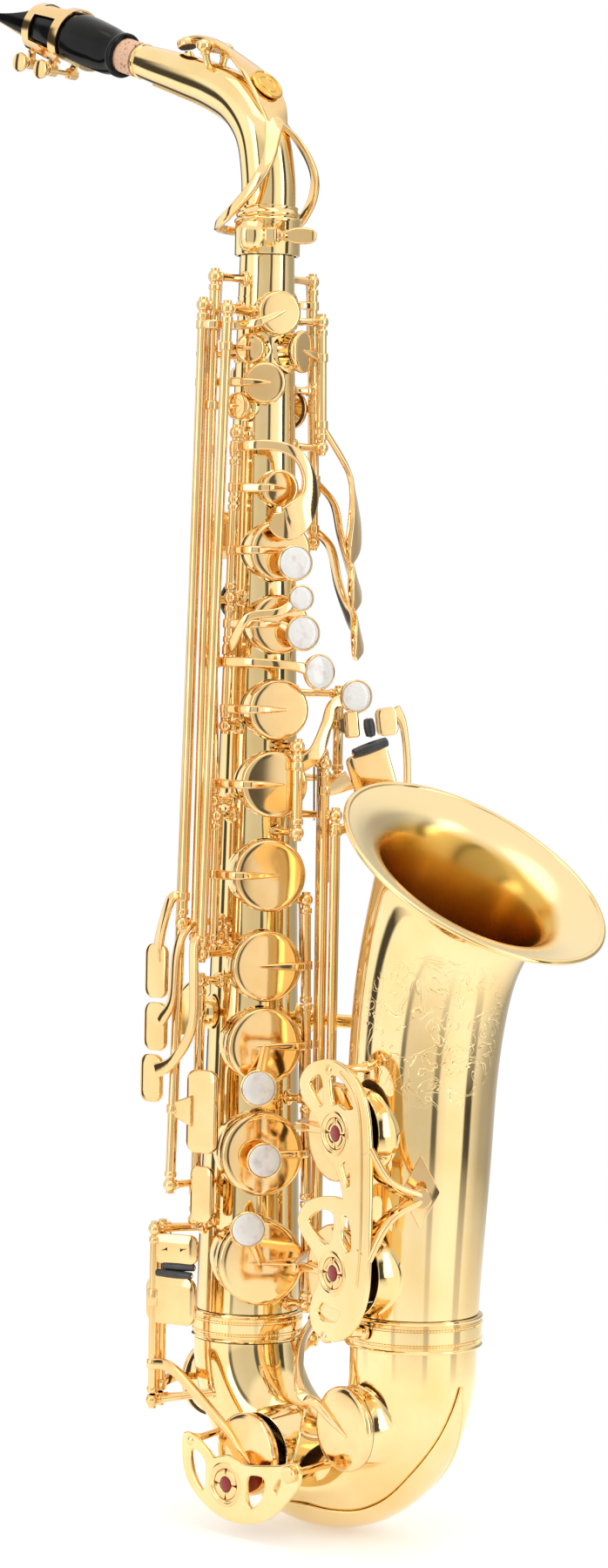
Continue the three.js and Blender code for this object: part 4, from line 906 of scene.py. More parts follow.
def bow():
    stations = [bow_station(math.pi * i / 48) for i in range(49)]
    start, direction, radius = stations[0]
    stations[0] = (start - UP * SEAT_GAP * MM, direction, radius)
    end = at(BOW_SPAN, 0, BELL_RING_BOTTOM_Z - SEAT_GAP)
    stations.append((end, stations[-1][1], BOW_R[2]))
    mesh, collars = pierced_tube(stations, 96, WALL, BOW_HOLES)
    finish_piece("bow_shell", mesh, LACQUER, "root", ["bow"])
    piece("bow_tone_hole_chimneys", merge(collars), LACQUER, "root")


# The wear plate's outline: the bow's turn and how far the edge reaches round the tube, in degrees.
WEAR_EDGE = [
    (72, 6), (77, 40), (84, 57), (97, 61), (109, 50), (118, 39), (124, 34), (131, 30), (143, 26),
    (152, 20), (159, 14), (168, 7), (176, 1),
]


def bow_guard():
    """The wear plate under the bow: a leaf-shaped sheet with a beaded edge."""
    loops = []
    edges = []
    side = Vector((0, 1, 0))
    for turn, half in spline(WEAR_EDGE, 4):
        centre, along, r = bow_station(math.radians(turn))
        under = along.cross(side).normalized()
        if under.z > 0:
            under = -under
        half = math.radians(max(half, 0.8))
        outer = []
        for k in range(17):
            phi = -half + 2 * half * k / 16
            outer.append(under * math.cos(phi) + side * math.sin(phi))
        loop = [centre + direction * (r + 0.7) * MM for direction in outer]
        loop += [centre + direction * (r + 0.2) * MM for direction in reversed(outer)]
        loops.append(loop)
        edges.append((centre, r, outer))
    beads = []
    for end in (0, -1):
        line = [centre + outer[end] * (r + 0.7) * MM for centre, r, outer in edges]
        beads.append(strap(line, [1] * len(line), 1.0, [outer[end] for _, _, outer in edges], 1))
    piece("bow_wear_plate", merge([loft(loops), *beads]), LACQUER, "root", replaces=["bow_guard"])


def bell_stations():
    stations = []
    for x, z, r, lean in spline(BELL_LINE, 8):
        direction = Vector((math.sin(math.radians(lean)), 0, math.cos(math.radians(lean))))
        stations.append((at(x, 0, z), direction, r))
    return stations


def mark_bore(mesh, stations):
    """Marks the points on the bell's inner wall, where the lacquer is painted darker as shade."""
    bore = mesh.attributes.new("bore", "FLOAT", "POINT")
    for vertex in mesh.vertices:
        centre, _, radius = min(stations, key=lambda s: abs((vertex.co - s[0]).dot(s[1])))
        depth = radius - (vertex.co - centre).length / MM
        bore.data[vertex.index].value = float(depth > BELL_WALL * 0.4)


def bell():
    stations = bell_stations()
    mesh, collars = pierced_tube(stations, 128, BELL_WALL, BELL_HOLES)
    finish_piece("bell_shell", mesh, BELL_LACQUER, "root", ["bell"])
    mark_bore(mesh, stations)
    centre, direction, radius = stations[-1]
    rim = lathe(centre, direction, [
        ((radius - 0.4) + 1.35 * math.cos(a), 0.4 + 1.15 * math.sin(a))
        for a in (2 * math.pi * i / 14 for i in range(14))
    ], 128, True)
    piece("bell_rim_wire", rim, LACQUER, "root")
    piece("bell_tone_hole_chimneys", merge(collars), LACQUER, "root")


# ------------------------------------------------------------------ receiver and neck screw
LUG_AZ = 43
LUG_Z = 574.5
LUG_OUT = 18.6
LUG_N = outward(LUG_AZ)
LUG_T = outward(LUG_AZ + 90)


def lug_point(t, n):
    return at(0, 0, LUG_Z) + (LUG_T * t + LUG_N * n) * MM


def receiver():
    sleeve = lathe(at(0, 0, 567), UP, [
        (13.1, 0), (14.3, 0), (14.6, 0.4), (14.6, 14.2), (14.9, 14.7), (15.1, 15.3), (14.9, 16),
        (14.5, 16.4), (13.1, 16.4),
    ], 96, True)
    drum = lathe(lug_point(-12.3, LUG_OUT - 0.6), LUG_T, solid(
        (2.6, 0), (4.2, 0.5), (5.4, 1.8), (5.9, 4), (6, 5.4), (5.7, 7.6), (5.1, 9.4), (4.6, 10.2),
        (2.6, 10.3),
    ), 40)
    centre = lug_point(-7, LUG_OUT)
    drum = ([p + UP * (p.z - centre.z) * 0.3 for p in drum[0]], drum[1])
    ear = strap(
        [lug_point(1.6, 12), lug_point(1.6, LUG_OUT - 1), lug_point(1.6, LUG_OUT + 3)], [9, 9, 6.5],
        4.6, LUG_T,
    )
    neck = strap([lug_point(-7, 11), lug_point(-7, 17)], [9, 9], 9, LUG_T, 2)
    piece("receiver_casting", merge([sleeve, drum, ear, neck]), LACQUER, "root",
          replaces=["neck_receiver"])


def neck_screw():
    shaft = rod(lug_point(-11.5, LUG_OUT), lug_point(6.5, LUG_OUT), 2.1, 24)
    waist = lathe(lug_point(3.8, LUG_OUT), LUG_T, solid(
        (2.1, 0), (3.1, 0.6), (3.3, 1.4), (2.4, 2.2), (2, 3), (2.6, 3.8), (3.1, 4.4), (2.4, 5.4),
    ), 28)
    paddle = strap(
        [lug_point(t, LUG_OUT) for t in (7.5, 10, 13, 17, 20, 21.6)], [3, 5.6, 7.2, 7.3, 6.2, 3.4],
        [2.6, 2.9, 2.7, 2.4, 2.2, 1.8], LUG_N,
    )
    piece("neck_screw_paddle", merge([shaft, waist, paddle]), KEY_LACQUER, "neck_screw",
          replaces=["neck_screw"])


# ------------------------------------------------------------------ neck
MOUTH_AXIS = (MOUTH_SHANK - MOUTH_TIP).normalized()
MOUTH_UP = Vector((-MOUTH_AXIS.z, 0, MOUTH_AXIS.x))
MOUTH_LENGTH = (MOUTH_SHANK - MOUTH_TIP).length / MM
MOUTH_SIDE = Vector((0, 1, 0))
NECK_END = at(-83, 0, 661.4)
CORK_END = MOUTH_LENGTH - 24


def on_mouth(s, h=0.0, y=0.0):
    return MOUTH_TIP + (MOUTH_AXIS * s + MOUTH_UP * h + MOUTH_SIDE * y) * MM


def neck_stations():
    fine = spline(NECK_LINE, 8)
    stations = []
    last = len(fine) - 1
    for i, (x, z, r) in enumerate(fine):
        ahead, behind = fine[min(i + 1, last)], fine[max(i - 1, 0)]
        along = Vector((ahead[0] - behind[0], 0, ahead[1] - behind[1])).normalized()
        stations.append((at(x, 0, z), along, r))
    return stations


def neck():
    stations = neck_stations()
    parts = [shell(stations, 72, WALL)]
    parts.append(lathe(at(0, 0, 583.9), UP, [
        (12, 0), (13.5, 0), (14.1, 0.5), (14.3, 1.3), (14.0, 2.1), (13.4, 2.6), (13.2, 3.4),
        (13.5, 4), (13.5, 4.6), (12.9, 5.0), (12, 5.0),
    ], 72, True))
    parts.append(lathe(at(-51, 0, 650.4), Vector((-1, 0, 12)), solid(
        (4.6, 1), (4.2, 1.8), (3, 2.4), (2.3, 3.4), (2.1, 5), (2.5, 6), (2.7, 8), (2.6, 10.5),
        (2.0, 11.6), (1.8, 12.3),
    ), 28))
    for y in (-7.2, 7.2):
        parts.append(post(at(-35, y, 663), at(-35, y * 0.55, 653)))
        parts.append(boss(at(-35, y, 663), Vector((0, y, 0)).normalized()))
    along = stations[-1][1]
    parts.append(lathe(NECK_END - along * 2.6 * MM, along, [
        (7.2, 0), (7.9, 0.1), (8.2, 0.4), (8.2, 1.2), (7.9, 1.5), (6.2, 1.5), (6.2, 1.2),
    ], 64, True))
    seam = []
    for centre, direction, r in stations[14:56]:
        under = direction.cross(MOUTH_SIDE).normalized()
        if under.z > 0:
            under = -under
        seam.append(centre + under * (r + 0.3) * MM)
    up_and_in = [(at(-60, 0, 560) - p).normalized() for p in seam]
    parts.append(strap(seam, [3.2] * len(seam), 1.0, up_and_in, 1))
    parts.append(rod(NECK_END - along * 1 * MM, on_mouth(CORK_END), 6, 48))
    piece("neck_pipe", merge(parts), LACQUER, "neck", replaces=["neck_tube"])
    cork = lathe(NECK_END - MOUTH_AXIS * 0.3 * MM, -MOUTH_AXIS, [
        (6.2, 0), (7.9, 0.2), (8.05, 0.9), (8.05, 20), (7.9, 33), (7.6, 33.8), (6.2, 33.9),
    ], 64, True)
    piece("neck_cork_sleeve", cork, CORK, "neck", replaces=["neck_cork"])


def octave_key():
    hinge = at(-35, 0, 663)
    barrel = rod(hinge + Vector((0, -0.004, 0)), hinge + Vector((0, 0.004, 0)), 2.5, 24)
    tilt = Vector((-0.2, 0, 0.98))
    foot = at(-52.4, 0, 664.5)
    cap = lathe(foot, tilt, [
        (0, 0.9), (3.9, 0.9), (4.2, 0.4), (4.7, 0.6), (4.7, 3), (4.3, 3.6), (3.4, 4), (0, 4.3),
    ], 40)
    pad_disc = lathe(foot, tilt, solid((4.0, 0), (4.2, 0.3), (4.0, 0.95)), 36)
    path, outs, widths, depths = [], [], [], []
    for x, z, out_x, out_z, width, depth in (
        (-54, 668.4, -0.2, 1, 4, 2), (-45, 668.2, 0, 1, 4.4, 2.6), (-35, 665.2, 0.3, 1, 5.4, 3),
        (-27, 661, 0.5, 1, 6, 2.6), (-19, 656, 0.6, 0.9, 10, 2.4), (-9, 648, 0.75, 0.7, 17, 2.4),
        (0, 636.5, 0.9, 0.5, 18, 2.4), (4.5, 626, 1, 0.3, 13, 2.2),
    ):
        path.append(at(x, 0, z))
        outs.append(Vector((out_x, 0, out_z)).normalized())
        widths.append(width)
        depths.append(depth)
    parts = [barrel, cap, strap(path, widths, depths, outs)]
    plate_normal = Vector((0.8, 0, 0.62)).normalized()
    centre = at(-3.6, 0, 642.4) + plate_normal * 2 * MM
    medal = lathe(centre, plate_normal, solid(
        (7.6, -0.9), (8.2, -0.2), (8.2, 0.4), (7.8, 0.8), (7.4, 0.9), (7.1, 0.5), (5, 0.5), (4.7, 0.8),
        (4.1, 0.8), (3.8, 0.5),
    ), 56)
    near = [
        (4.5, -2, 627), (9.5, -8, 618.5), (12.6, -13, 609.7), (12.3, -17, 602.1), (8.6, -19.8, 595),
        (3.6, -21.4, 589.4), (-3.2, -21.8, 584.2), (-13.6, -18, 580.2), (-19, -11.4, 579.6),
    ]
    far = [
        (4.5, 2, 627), (9.8, 8, 618.4), (12.8, 13, 609.7), (12.4, 17, 602.1), (9, 19.8, 595),
        (3.6, 21.4, 588.4), (-3.2, 21.8, 583.2), (-13.6, 18, 580.2), (-19, 11.4, 579.6),
    ]
    loop = [polar(21.8, az, 579.6) for az in (-60, -75, -90, -105, -120)]
    widths = [9, 7, 6, 5.4, 5, 4.8, 4.6, 4.2, 4]
    for line in (near, far):
        path = [at(*p) for p in line]
        outs = []
        for p in path:
            level = p - ORIGIN
            outs.append(Vector((level.x * 0.3 + 0.004, level.y, 0.004)).normalized())
        parts.append(strap(path, widths, 2.6, outs))
    parts.append(strap(loop, [4] * len(loop), 2.6))
    piece("neck_octave_lever", merge(parts), KEY_LACQUER, "neck_octave_key",
          replaces=["neck_octave_key"])
    piece("neck_octave_medallion", medal, GOLD, "neck_octave_key")
    piece("neck_octave_pad", pad_disc, LEATHER, "neck_octave_key")


# ------------------------------------------------------------------ mouthpiece, reed and ligature
MOUTH_PROFILE = [(0, 7.8), (30, 10.6), (45, 12.3), (60, 12.8), (75, 11.5), (84, 10), (89, 9.7)]
BEAK = [(0, 0.6), (10, 2.2), (20, 4.8), (28, 8.2), (34, 12.4), (38, 16)]


def along_profile(profile, s):
    for (s0, r0), (s1, r1) in zip(profile, profile[1:]):
        if s <= s1:
            return r0 + (r1 - r0) * (s - s0) / (s1 - s0)
    return profile[-1][1]


def mouth_radius(s):
    fine = spline(MOUTH_PROFILE, 10)
    return along_profile(fine, s)


def mouthpiece():
    fine_beak = spline(BEAK, 8)
    loops = []
    for i in range(90):
        s = MOUTH_LENGTH * i / 89
        r = mouth_radius(s)
        top = along_profile(fine_beak, s) if s < 38 else 99
        bottom = -1.2 - s * 8 / 66
        loop = []
        for k in range(96):
            a = 2 * math.pi * k / 96
            h = min(max(r * math.sin(a), bottom), top)
            loop.append(on_mouth(s, h, r * math.cos(a)))
        loops.append(loop)
    end = MOUTH_LENGTH
    for s, r in ((end + 0.3, mouth_radius(end) - 0.4), (end + 0.3, 8.6), (end, 8.3), (end - 25, 8.3)):
        loops.append([
            on_mouth(s, r * math.sin(2 * math.pi * k / 96), r * math.cos(2 * math.pi * k / 96))
            for k in range(96)
        ])
    lip = lathe(on_mouth(end - 3.6), MOUTH_AXIS, [
        (9.4, 0), (10.1, 0.2), (10.5, 1), (10.5, 2.6), (10.1, 3.4), (9.4, 3.6),
    ], 64, True)
    piece("mouthpiece_body", merge([loft(loops), lip]), EBONITE, "mouthpiece",
          replaces=["mouthpiece"])


def reed():
    loops = []
    for i in range(34):
        s = 0.5 + 65.5 * i / 33
        thick = 0.3 + 2.7 * min(s / 33, 1) ** 1.1
        half = (15.4 - 3.4 * s / 66) / 2
        top = -1.35 - s * 8 / 66
        loop = []
        for k in range(24):
            a = 2 * math.pi * k / 24
            y = half * math.cos(a)
            h = top - thick * 0.98 * max(math.sin(a), 0) ** 0.5 if math.sin(a) > 0 else top
            loop.append(on_mouth(s, h, y))
        loops.append(loop)
    piece("reed_blade", loft(loops), CANE, "mouthpiece", replaces=["reed"])


def wrap(s0, s1, a0, a1, lift=0.7, depth=0.8):
    """A curved plate on the mouthpiece from station s0 to s1 between two angles from its top."""
    rows, columns = 8, max(int((a1 - a0) / 6), 2)
    loops = []
    for i in range(rows + 1):
        s = s0 + (s1 - s0) * i / rows
        r = mouth_radius(s) + lift
        outer, inner = [], []
        for k in range(columns + 1):
            a = math.radians(a0 + (a1 - a0) * k / columns)
            direction = MOUTH_UP * math.cos(a) + MOUTH_SIDE * math.sin(a)
            outer.append(on_mouth(s) + direction * (r + depth) * MM)
            inner.append(on_mouth(s) + direction * r * MM)
        loops.append(outer + list(reversed(inner)))
    return loft(loops)


def ligature():
    parts = [
        wrap(28, 33.4, -148, 148), wrap(49.4, 55, -148, 148), wrap(33.2, 49.6, -58, -27),
        wrap(33.2, 49.6, 27, 58), wrap(33.2, 49.6, -150, -118), wrap(33.2, 49.6, 118, 150),
    ]
    for s in (34, 49):
        for y in (-6.6, 6.6):
            parts.append(rod(on_mouth(s, -16.6, y - 2.6), on_mouth(s, -16.6, y + 2.6), 2.6, 24))
            parts.append(strap(
                [on_mouth(s, -10.5, y * 1.15), on_mouth(s, -14.5, y)], [5, 4.4], 1.6, MOUTH_SIDE, 3))
    piece("ligature_frame", merge(parts), KEY_LACQUER, "mouthpiece", replaces=["ligature"])
    for s, body in ((34, "ligature_screw_front"), (49, "ligature_screw_back")):
        shaft = rod(on_mouth(s, -16.6, 10), on_mouth(s, -16.6, -12), 1.2, 20)
        neck_part = lathe(on_mouth(s, -16.6, -9.4), -MOUTH_SIDE, solid(
            (1.9, 0), (2.2, 0.5), (1.6, 1.2), (1.3, 2.0), (1.7, 2.7),
        ), 24)
        head = slab(on_mouth(s, -16.6, -13.4), MOUTH_UP, MOUTH_AXIS, 9, 9, 2.2, 4.45, 0)
        piece(body + "_thumb_head", merge([shaft, neck_part, head]), KEY_LACQUER, body,
              replaces=[body])


# ------------------------------------------------------------------ guards, brace and small fittings
def outline_plate(name, outline, holes, frame_matrix, depth, bevel, material, body, replaces):
    """A flat plate with openings and bevelled edges; outlines are closed (x, y) lists in mm."""
    curve = bpy.data.curves.new(name + "_line", "CURVE")
    curve.dimensions = "2D"
    curve.fill_mode = "BOTH"
    curve.extrude = depth / 2 * MM - bevel * MM
    curve.bevel_depth = bevel * MM
    curve.bevel_resolution = 2
    for line in [outline, *holes]:
        points = spline(line, 6, closed=True)
        made = curve.splines.new("POLY")
        made.points.add(len(points) - 1)
        for target, (x, y) in zip(made.points, points):
            target.co = (x * MM, y * MM, 0, 1)
        made.use_cyclic_u = True
    work = work_object(curve)
    view = bpy.context.evaluated_depsgraph_get()
    mesh = bpy.data.meshes.new_from_object(work.evaluated_get(view))
    bpy.data.objects.remove(work)
    mesh.transform(frame_matrix)
    return finish_piece(name, mesh, material, body, replaces)


def round_hole(x, y, r, count=12):
    return [
        (x + r * math.cos(2 * math.pi * i / count), y + r * math.sin(2 * math.pi * i / count))
        for i in range(count)
    ]


def basis(centre, u, v):
    matrix = Matrix.Identity(4)
    for k, column in enumerate((u, v, u.cross(v))):
        for row in range(3):
            matrix[row][k] = column[row]
    matrix.translation = centre
    return matrix


GUARD_N = outward(-11)
GUARD_T = outward(79)
GUARD_RHO = 50.5
GUARD_RING_T = 9


def guard_point(t, z, rho=GUARD_RHO):
    return at(BOW_SPAN, 0, z) + (GUARD_N * rho + GUARD_T * t) * MM


def bumper(centre, normal):
    """A guard's felt stop: a slotted disc set in a raised ring, with red felt at its centre."""
    metal = [lathe(centre, normal, [
        (7.3, -1.4), (9.6, -1.4), (10, -0.8), (10, 0.8), (9.6, 1.4), (8.9, 1.6), (8.2, 1.5),
        (7.6, 1.0), (7.3, 0.4),
    ], 56, True)]
    metal.append(lathe(centre, normal, [(6.9, -1), (7.4, -1), (7.4, 0.1), (6.9, 0.1)], 48, True))
    u, v = side_axes(normal)
    gap = math.radians(6.5)
    for quarter in range(4):
        arc = []
        for i in range(9):
            a = gap + quarter * math.pi / 2 + (math.pi / 2 - 2 * gap) * i / 8
            arc.append(centre + ((u * math.cos(a) + v * math.sin(a)) * 5.05 + normal * 0.2) * MM)
        metal.append(strap(arc, [3.6] * 9, 1.5, normal, 1))
    felt = lathe(centre, normal, solid((6.9, -3.4), (6.9, -0.9), (3.1, -0.8), (3.1, 0.8), (2.7, 1.1)), 40)
    return merge(metal), felt


def bell_guard():
    outline = [
        (-3, 216.5), (-11, 213.5), (-16.5, 207), (-14, 199.5), (-6.5, 194), (-0.8, 188.5), (1, 180.5),
        (6.5, 175.5), (11.3, 171), (14.6, 165.2), (15.6, 159.8), (8.5, 159.6), (-2, 158), (-11.5, 154),
        (-16, 147.5), (-13, 141.4), (-6.5, 136.2), (-1, 130.5), (-0.4, 122.5), (-4.4, 115), (-6, 108),
        (-2.1, 100.8), (10, 98.8), (21, 103), (29, 112.5), (33, 123), (34, 139.6), (34, 159.7),
        (33.6, 179.8), (32, 194.2), (28.6, 204.1), (23, 211), (14, 215.8), (5, 217.6),
    ]
    holes = [
        [(-10.4, 206.8), (-4, 211.4), (-0.6, 209), (0.6, 203), (-0.2, 197.2), (-4.8, 199.4)],
        [(4.2, 210.6), (11.2, 211.4), (18.6, 206.2), (22, 199), (17, 197.6), (11.6, 199.2),
         (6.4, 199.2)],
        [(13.4, 174.6), (17.9, 176.6), (20.6, 171.8), (20.6, 165.9), (17.4, 165.6), (14.6, 170.8)],
        [(15.6, 152.4), (18.8, 153.2), (22.1, 146.9), (22.3, 139.3), (19.6, 137.4), (16.4, 140),
         (14.4, 145)],
        [(-9.6, 147.4), (-4.5, 152.2), (2.7, 154.4), (9.4, 152.6), (9.4, 145), (6.1, 138.9), (-2.4, 141.6)],
        [(2.2, 114.4), (8, 113.2), (15.1, 112.2), (12.5, 106.8), (3.4, 106.2), (-1.6, 109.4)],
        round_hole(GUARD_RING_T, 187, FELT_RING_R), round_hole(GUARD_RING_T, 127.4, FELT_RING_R),
    ]
    place = basis(guard_point(0, 0), GUARD_T, UP)
    outline_plate("bell_key_guard_plate", outline, holes, place, 2.2, 0.6, LACQUER, "root",
                  ["bell_key_guard"])
    line = [(12.4, 213.6), (21, 207.6), (26, 199), (28.2, 184), (28.9, 158.5), (28.6, 140), (26.9, 124)]
    bead = [guard_point(t, z, GUARD_RHO + 1.2) for t, z in line]
    parts = [strap(bead, [1.2] * len(bead), 0.8, GUARD_N)]
    felts = []
    for z in (187, 127.4):
        metal, felt = bumper(guard_point(GUARD_RING_T, z, GUARD_RHO), GUARD_N)
        parts.append(metal)
        felts.append(felt)
    bell_out = outward(43)
    foot = at(101, 0, 162) + bell_out * 30.6 * MM
    hub = foot + bell_out * 18 * MM
    for z in (181, 138):
        middle = guard_point(37, (z + 324) / 3, 43)
        parts.append(strap(
            [guard_point(30, z, GUARD_RHO), middle, hub], [11, 6, 6.5], 2.6, [GUARD_N] * 3))
    parts.append(rod(hub + bell_out * 2 * MM, foot, 2.6, 24))
    parts.append(lathe(hub, hub - foot, solid(
        (4.2, 0), (4.4, 0.6), (4.4, 2.4), (3.8, 3.2), (1, 3.3)), 24))
    mat = foot + bell_out * 0.9 * MM
    parts.append(strap([mat - UP * 15 * MM, mat, mat + UP * 15 * MM], [1, 17, 1], 0.7, bell_out, 1))
    for t, z in ((4, 213.6), (4, 99.6)):
        parts.append(post(guard_point(t, z, GUARD_RHO - 1), guard_point(t, z, 31)))
    piece("bell_key_guard_fittings", merge(parts), KEY_LACQUER, "root")
    piece("bell_key_guard_felts", merge(felts), FELT, "root")


def low_c_guard():
    y = -46.5
    outline = [
        (7.5, 43), (7.5, 33), (10.7, 24), (17.8, 17.4), (27, 12.6), (36.6, 10.4), (47.2, 10.9),
        (57, 13.6), (65, 18.9), (72, 26), (77, 32.6), (77.4, 39), (73, 40.8), (66, 38.6),
        (54.5, 36.6), (44.6, 35.6), (40.3, 36.8), (33.7, 38), (26.2, 36), (23, 38), (17, 42), (11, 44.4),
    ]
    holes = [
        round_hole(33.7, 25.5, FELT_RING_R),
        [(12, 37.5), (17.3, 37.6), (21.7, 33.4), (21.9, 28.3), (21.6, 22), (18.4, 21), (13.5, 28)],
        [(47.2, 31.6), (56.2, 32.6), (58, 27.7), (54.8, 20.5), (48.6, 17.4), (46, 24.4)],
        [(62.4, 28.4), (65.6, 33.6), (67.6, 32.4), (65, 26)],
    ]
    place = basis(at(0, y, 0), Vector((1, 0, 0)), UP)
    outline_plate("low_c_guard_plate", outline, holes, place, 2.2, 0.6, LACQUER, "root",
                  ["low_c_guard"])
    normal = Vector((0, -1, 0))
    metal, felt = bumper(at(33.7, y, 25.5), normal)
    parts = [metal]
    for head, root in (((12, y + 1, 41.5), (14, -20, 45)), ((72, y + 1, 36), (71, -20, 37))):
        parts.append(post(at(*head), at(*root)))
    parts.append(lathe(at(73, y - 1, 36.6), normal, solid(
        (3.6, 0), (3.8, 0.6), (3.8, 2.2), (3.2, 3), (1, 3.1)), 24))
    piece("low_c_guard_fittings", merge(parts), KEY_LACQUER, "root")
    piece("low_c_guard_felt", felt, FELT, "root")


def bell_brace():
    brace_low, brace_high = at(17, 19.6, 225), at(82, 26.8, 225)
    axis = brace_high - brace_low
    length = axis.length / MM
    brace = lathe(brace_low, axis, solid(
        (7, -4), (7.4, -2), (6.8, -0.6), (4.4, 1.4), (3.2, 4), (3, 10), (3.2, length / 2 - 5),
        (4.2, length / 2 - 4), (4.4, length / 2), (4.2, length / 2 + 4), (3.2, length / 2 + 5),
        (3, length - 10), (3.6, length - 3), (5.4, length), (7.4, length + 2),
    ), 40)
    piece("bell_brace_rod", brace, LACQUER, "root", replaces=["bell_brace"])


BACK_N = outward(262)
BACK_T = outward(352)


def back_point(z, out, side=0.0):
    return at(0, 0, z) + (BACK_N * (tube_r(z) + out) + BACK_T * side) * MM


def back_strap(spots, widths, depths, normals=BACK_N):
    return strap([back_point(*spot) for spot in spots], widths, depths, normals)


def back_fittings():
    wire = [(8.1 + 1.9 * math.cos(a), 1.7 * math.sin(a)) for a in (
        2 * math.pi * i / 14 for i in range(14))]
    ring = lathe(back_point(330, 11.4), BACK_T, wire, 48, True)
    saddle = back_strap(
        ((317, 0.9), (323, 1.4), (330, 2.4), (337, 1.4), (343, 0.9)), [9, 10, 11, 10, 9],
        [1.2, 1.8, 3.2, 1.8, 1.2],
    )
    piece("strap_ring_loop", merge([ring, saddle]), LACQUER, "root", replaces=["strap_ring"])
    seat = back_strap(
        [(z, 1.2) for z in (209, 216, 226, 236, 241)], [9, 13, 13.5, 13, 9], [1.4, 2, 2, 2, 1.4],
    )
    hook = back_strap(
        ((236, 1.4), (238.6, 8), (237.6, 16), (232, 23), (223, 26), (213.5, 26.4)),
        [12, 15, 18, 18.4, 17, 12], 2.7,
        [UP, UP, (UP + BACK_N).normalized(), (UP * 0.5 + BACK_N).normalized(), BACK_N, BACK_N],
    )
    screw = lathe(back_point(219, 2), BACK_N, solid(
        (3, 0), (3.2, 0.4), (3.2, 1.6), (2.6, 2.1), (0.8, 2.2)), 28)
    piece("thumb_hook_plate", merge([seat, hook, screw]), LACQUER, "root", replaces=["thumb_hook"])
    rest = lathe(back_point(413, 0.6), BACK_N, solid(
        (8.4, 0), (9, 0.4), (9, 2), (8.6, 2.8), (7.4, 3.4), (5, 3.8), (2, 4)), 56)
    piece("thumb_rest_button", rest, EBONITE, "root", replaces=["thumb_rest"])


# ------------------------------------------------------------------ keys
def key(body, hole=None, tube=None, parts=()):
    """One key: its tube, cup and arms as one brazed casting, with its pad beneath."""
    turn = key_turn(body)
    metal = list(parts)
    if tube:
        metal.append(key_tube(body, *tube))
        metal.append(collar(body, tube[0] + 1.4, 1.4, 2.7))
        metal.append(collar(body, tube[1] - 1.4, 1.4, 2.7))
    if hole:
        metal.append(cup(hole))
        piece(body + "_pad", pad(hole), LEATHER, body, turn)
        if hole["r"] > BIG_HOLE_R:
            piece(body + "_resonator", resonator(hole), LACQUER, body, turn)
    piece(body + "_casting", merge(metal), KEY_LACQUER, body, turn, [body])


def branch(body, z, points, widths, depths=2.4, normals=None, half=2.1):
    """An arm through points from a collar on the key's tube."""
    arm = strap([rod_at(body, z), *points], widths, depths, normals)
    return merge([arm, collar(body, z, half)])


def pearl(body, name, centre, normal, size):
    piece(name + "_button", pearl_button(centre, normal, size), PEARL, body, key_turn(body), [name])


# Main stack: name, tube ends, pearl (radius, angle, height) and the pearl's size.
STACK = [
    ("b", (417.5, 455.4), (32, 72, 429.5), 8),
    ("a", (394, 410.4), (32.5, 79, 398.7), 8),
    ("f", (194.4, 233.4), (36.5, 44, 198), 8.2),
    ("e", (146, 187.6), (36.5, 49, 166), 8),
    ("d", (102.4, 145.4), (37.5, 39, 135.6), 8),
]


def main_stack():
    key("c_vent_key", HOLES["c_vent"], (456, 475.4), [cup_arm("c_vent_key", HOLES["c_vent"])])
    key("f_sharp_key", HOLES["f_sharp"], (234, 276.6), [cup_arm("f_sharp_key", HOLES["f_sharp"])])
    for name, tube, (r, az, z), size in STACK:
        body = name + "_key"
        hole = HOLES[name]
        centre = polar(r, az, z)
        normal = outward((az + hole["az"]) / 2)
        stem_end = centre + normal * 0.6 * MM
        start = cup_top(hole, -0.2)
        key(body, hole, tube, [
            cup_arm(body, hole), pearl_holder(centre, normal, size),
            strap([start, start.lerp(stem_end, 0.5), stem_end], [4, 4.6, 6.5], [2, 2, 1.8], normal),
        ])
        pearl(body, name + "_pearl", centre, normal, size)


def offset_keys():
    bis, normal = polar(33.5, 76, 414), outward(72)
    path = [polar(32, 22, 391.5), polar(37, 38, 405), polar(37, 60, 408), bis]
    key("bis_key", HOLES["bis"], (360.5, 393.4), [
        cup_arm("bis_key", HOLES["bis"]), pearl_holder(bis, normal, 6),
        branch("bis_key", 390.5, path, [4.2, 4.2, 3.8, 3.8, 5]),
    ])
    pearl("bis_key", "bis_pearl", bis, normal, 6)
    g, normal = polar(35, 92, 381.5), outward(84)
    path = [
        polar(32.4, 18, 385.5), polar(37, 46, 385.5), polar(37, 72, 384), g + normal * 0.8 * MM,
    ]
    key("g_key", HOLES["g"], (327, 409.6), [
        cup_arm("g_key", HOLES["g"]), pearl_holder(g, normal, 8),
        branch("g_key", 384.5, path, [4.4, 4.4, 4, 4.2, 7]),
    ])
    pearl("g_key", "g_pearl", g, normal, 8)
    path = [polar(*spot) for spot in (
        (31, 30, 481), (34, 52, 481), (36.4, 67, 477.5), (37.2, 76, 469), (37.2, 77, 459),
        (37, 69.5, 451), (36.6, 60, 446.5), (36.2, 50, 448),
    )]
    key("front_f_key", None, (476.2, 483.4), [branch(
        "front_f_key", 480, path, [4.6, 4.6, 4.6, 5, 6.4, 9.5, 14.5, 14.5, 7],
        [2.6, 2.6, 2.6, 2.6, 2.8, 3.2, 3.6, 3.4, 2.4],
    )])
    key("g_sharp_key", HOLES["g_sharp"], (261.4, 313.6), [cup_arm("g_sharp_key", HOLES["g_sharp"])])


def side_plate(r, az, top, bottom):
    """A side key's touch: a long crowned plate turned towards the player's palm."""
    centre, width = polar(r, az, (top + bottom) / 2), SIDE_TOUCH_WIDTH
    return slab(centre, outward(az + 114), UP, width, top - bottom, 2.6, width * 0.34, 0.15)


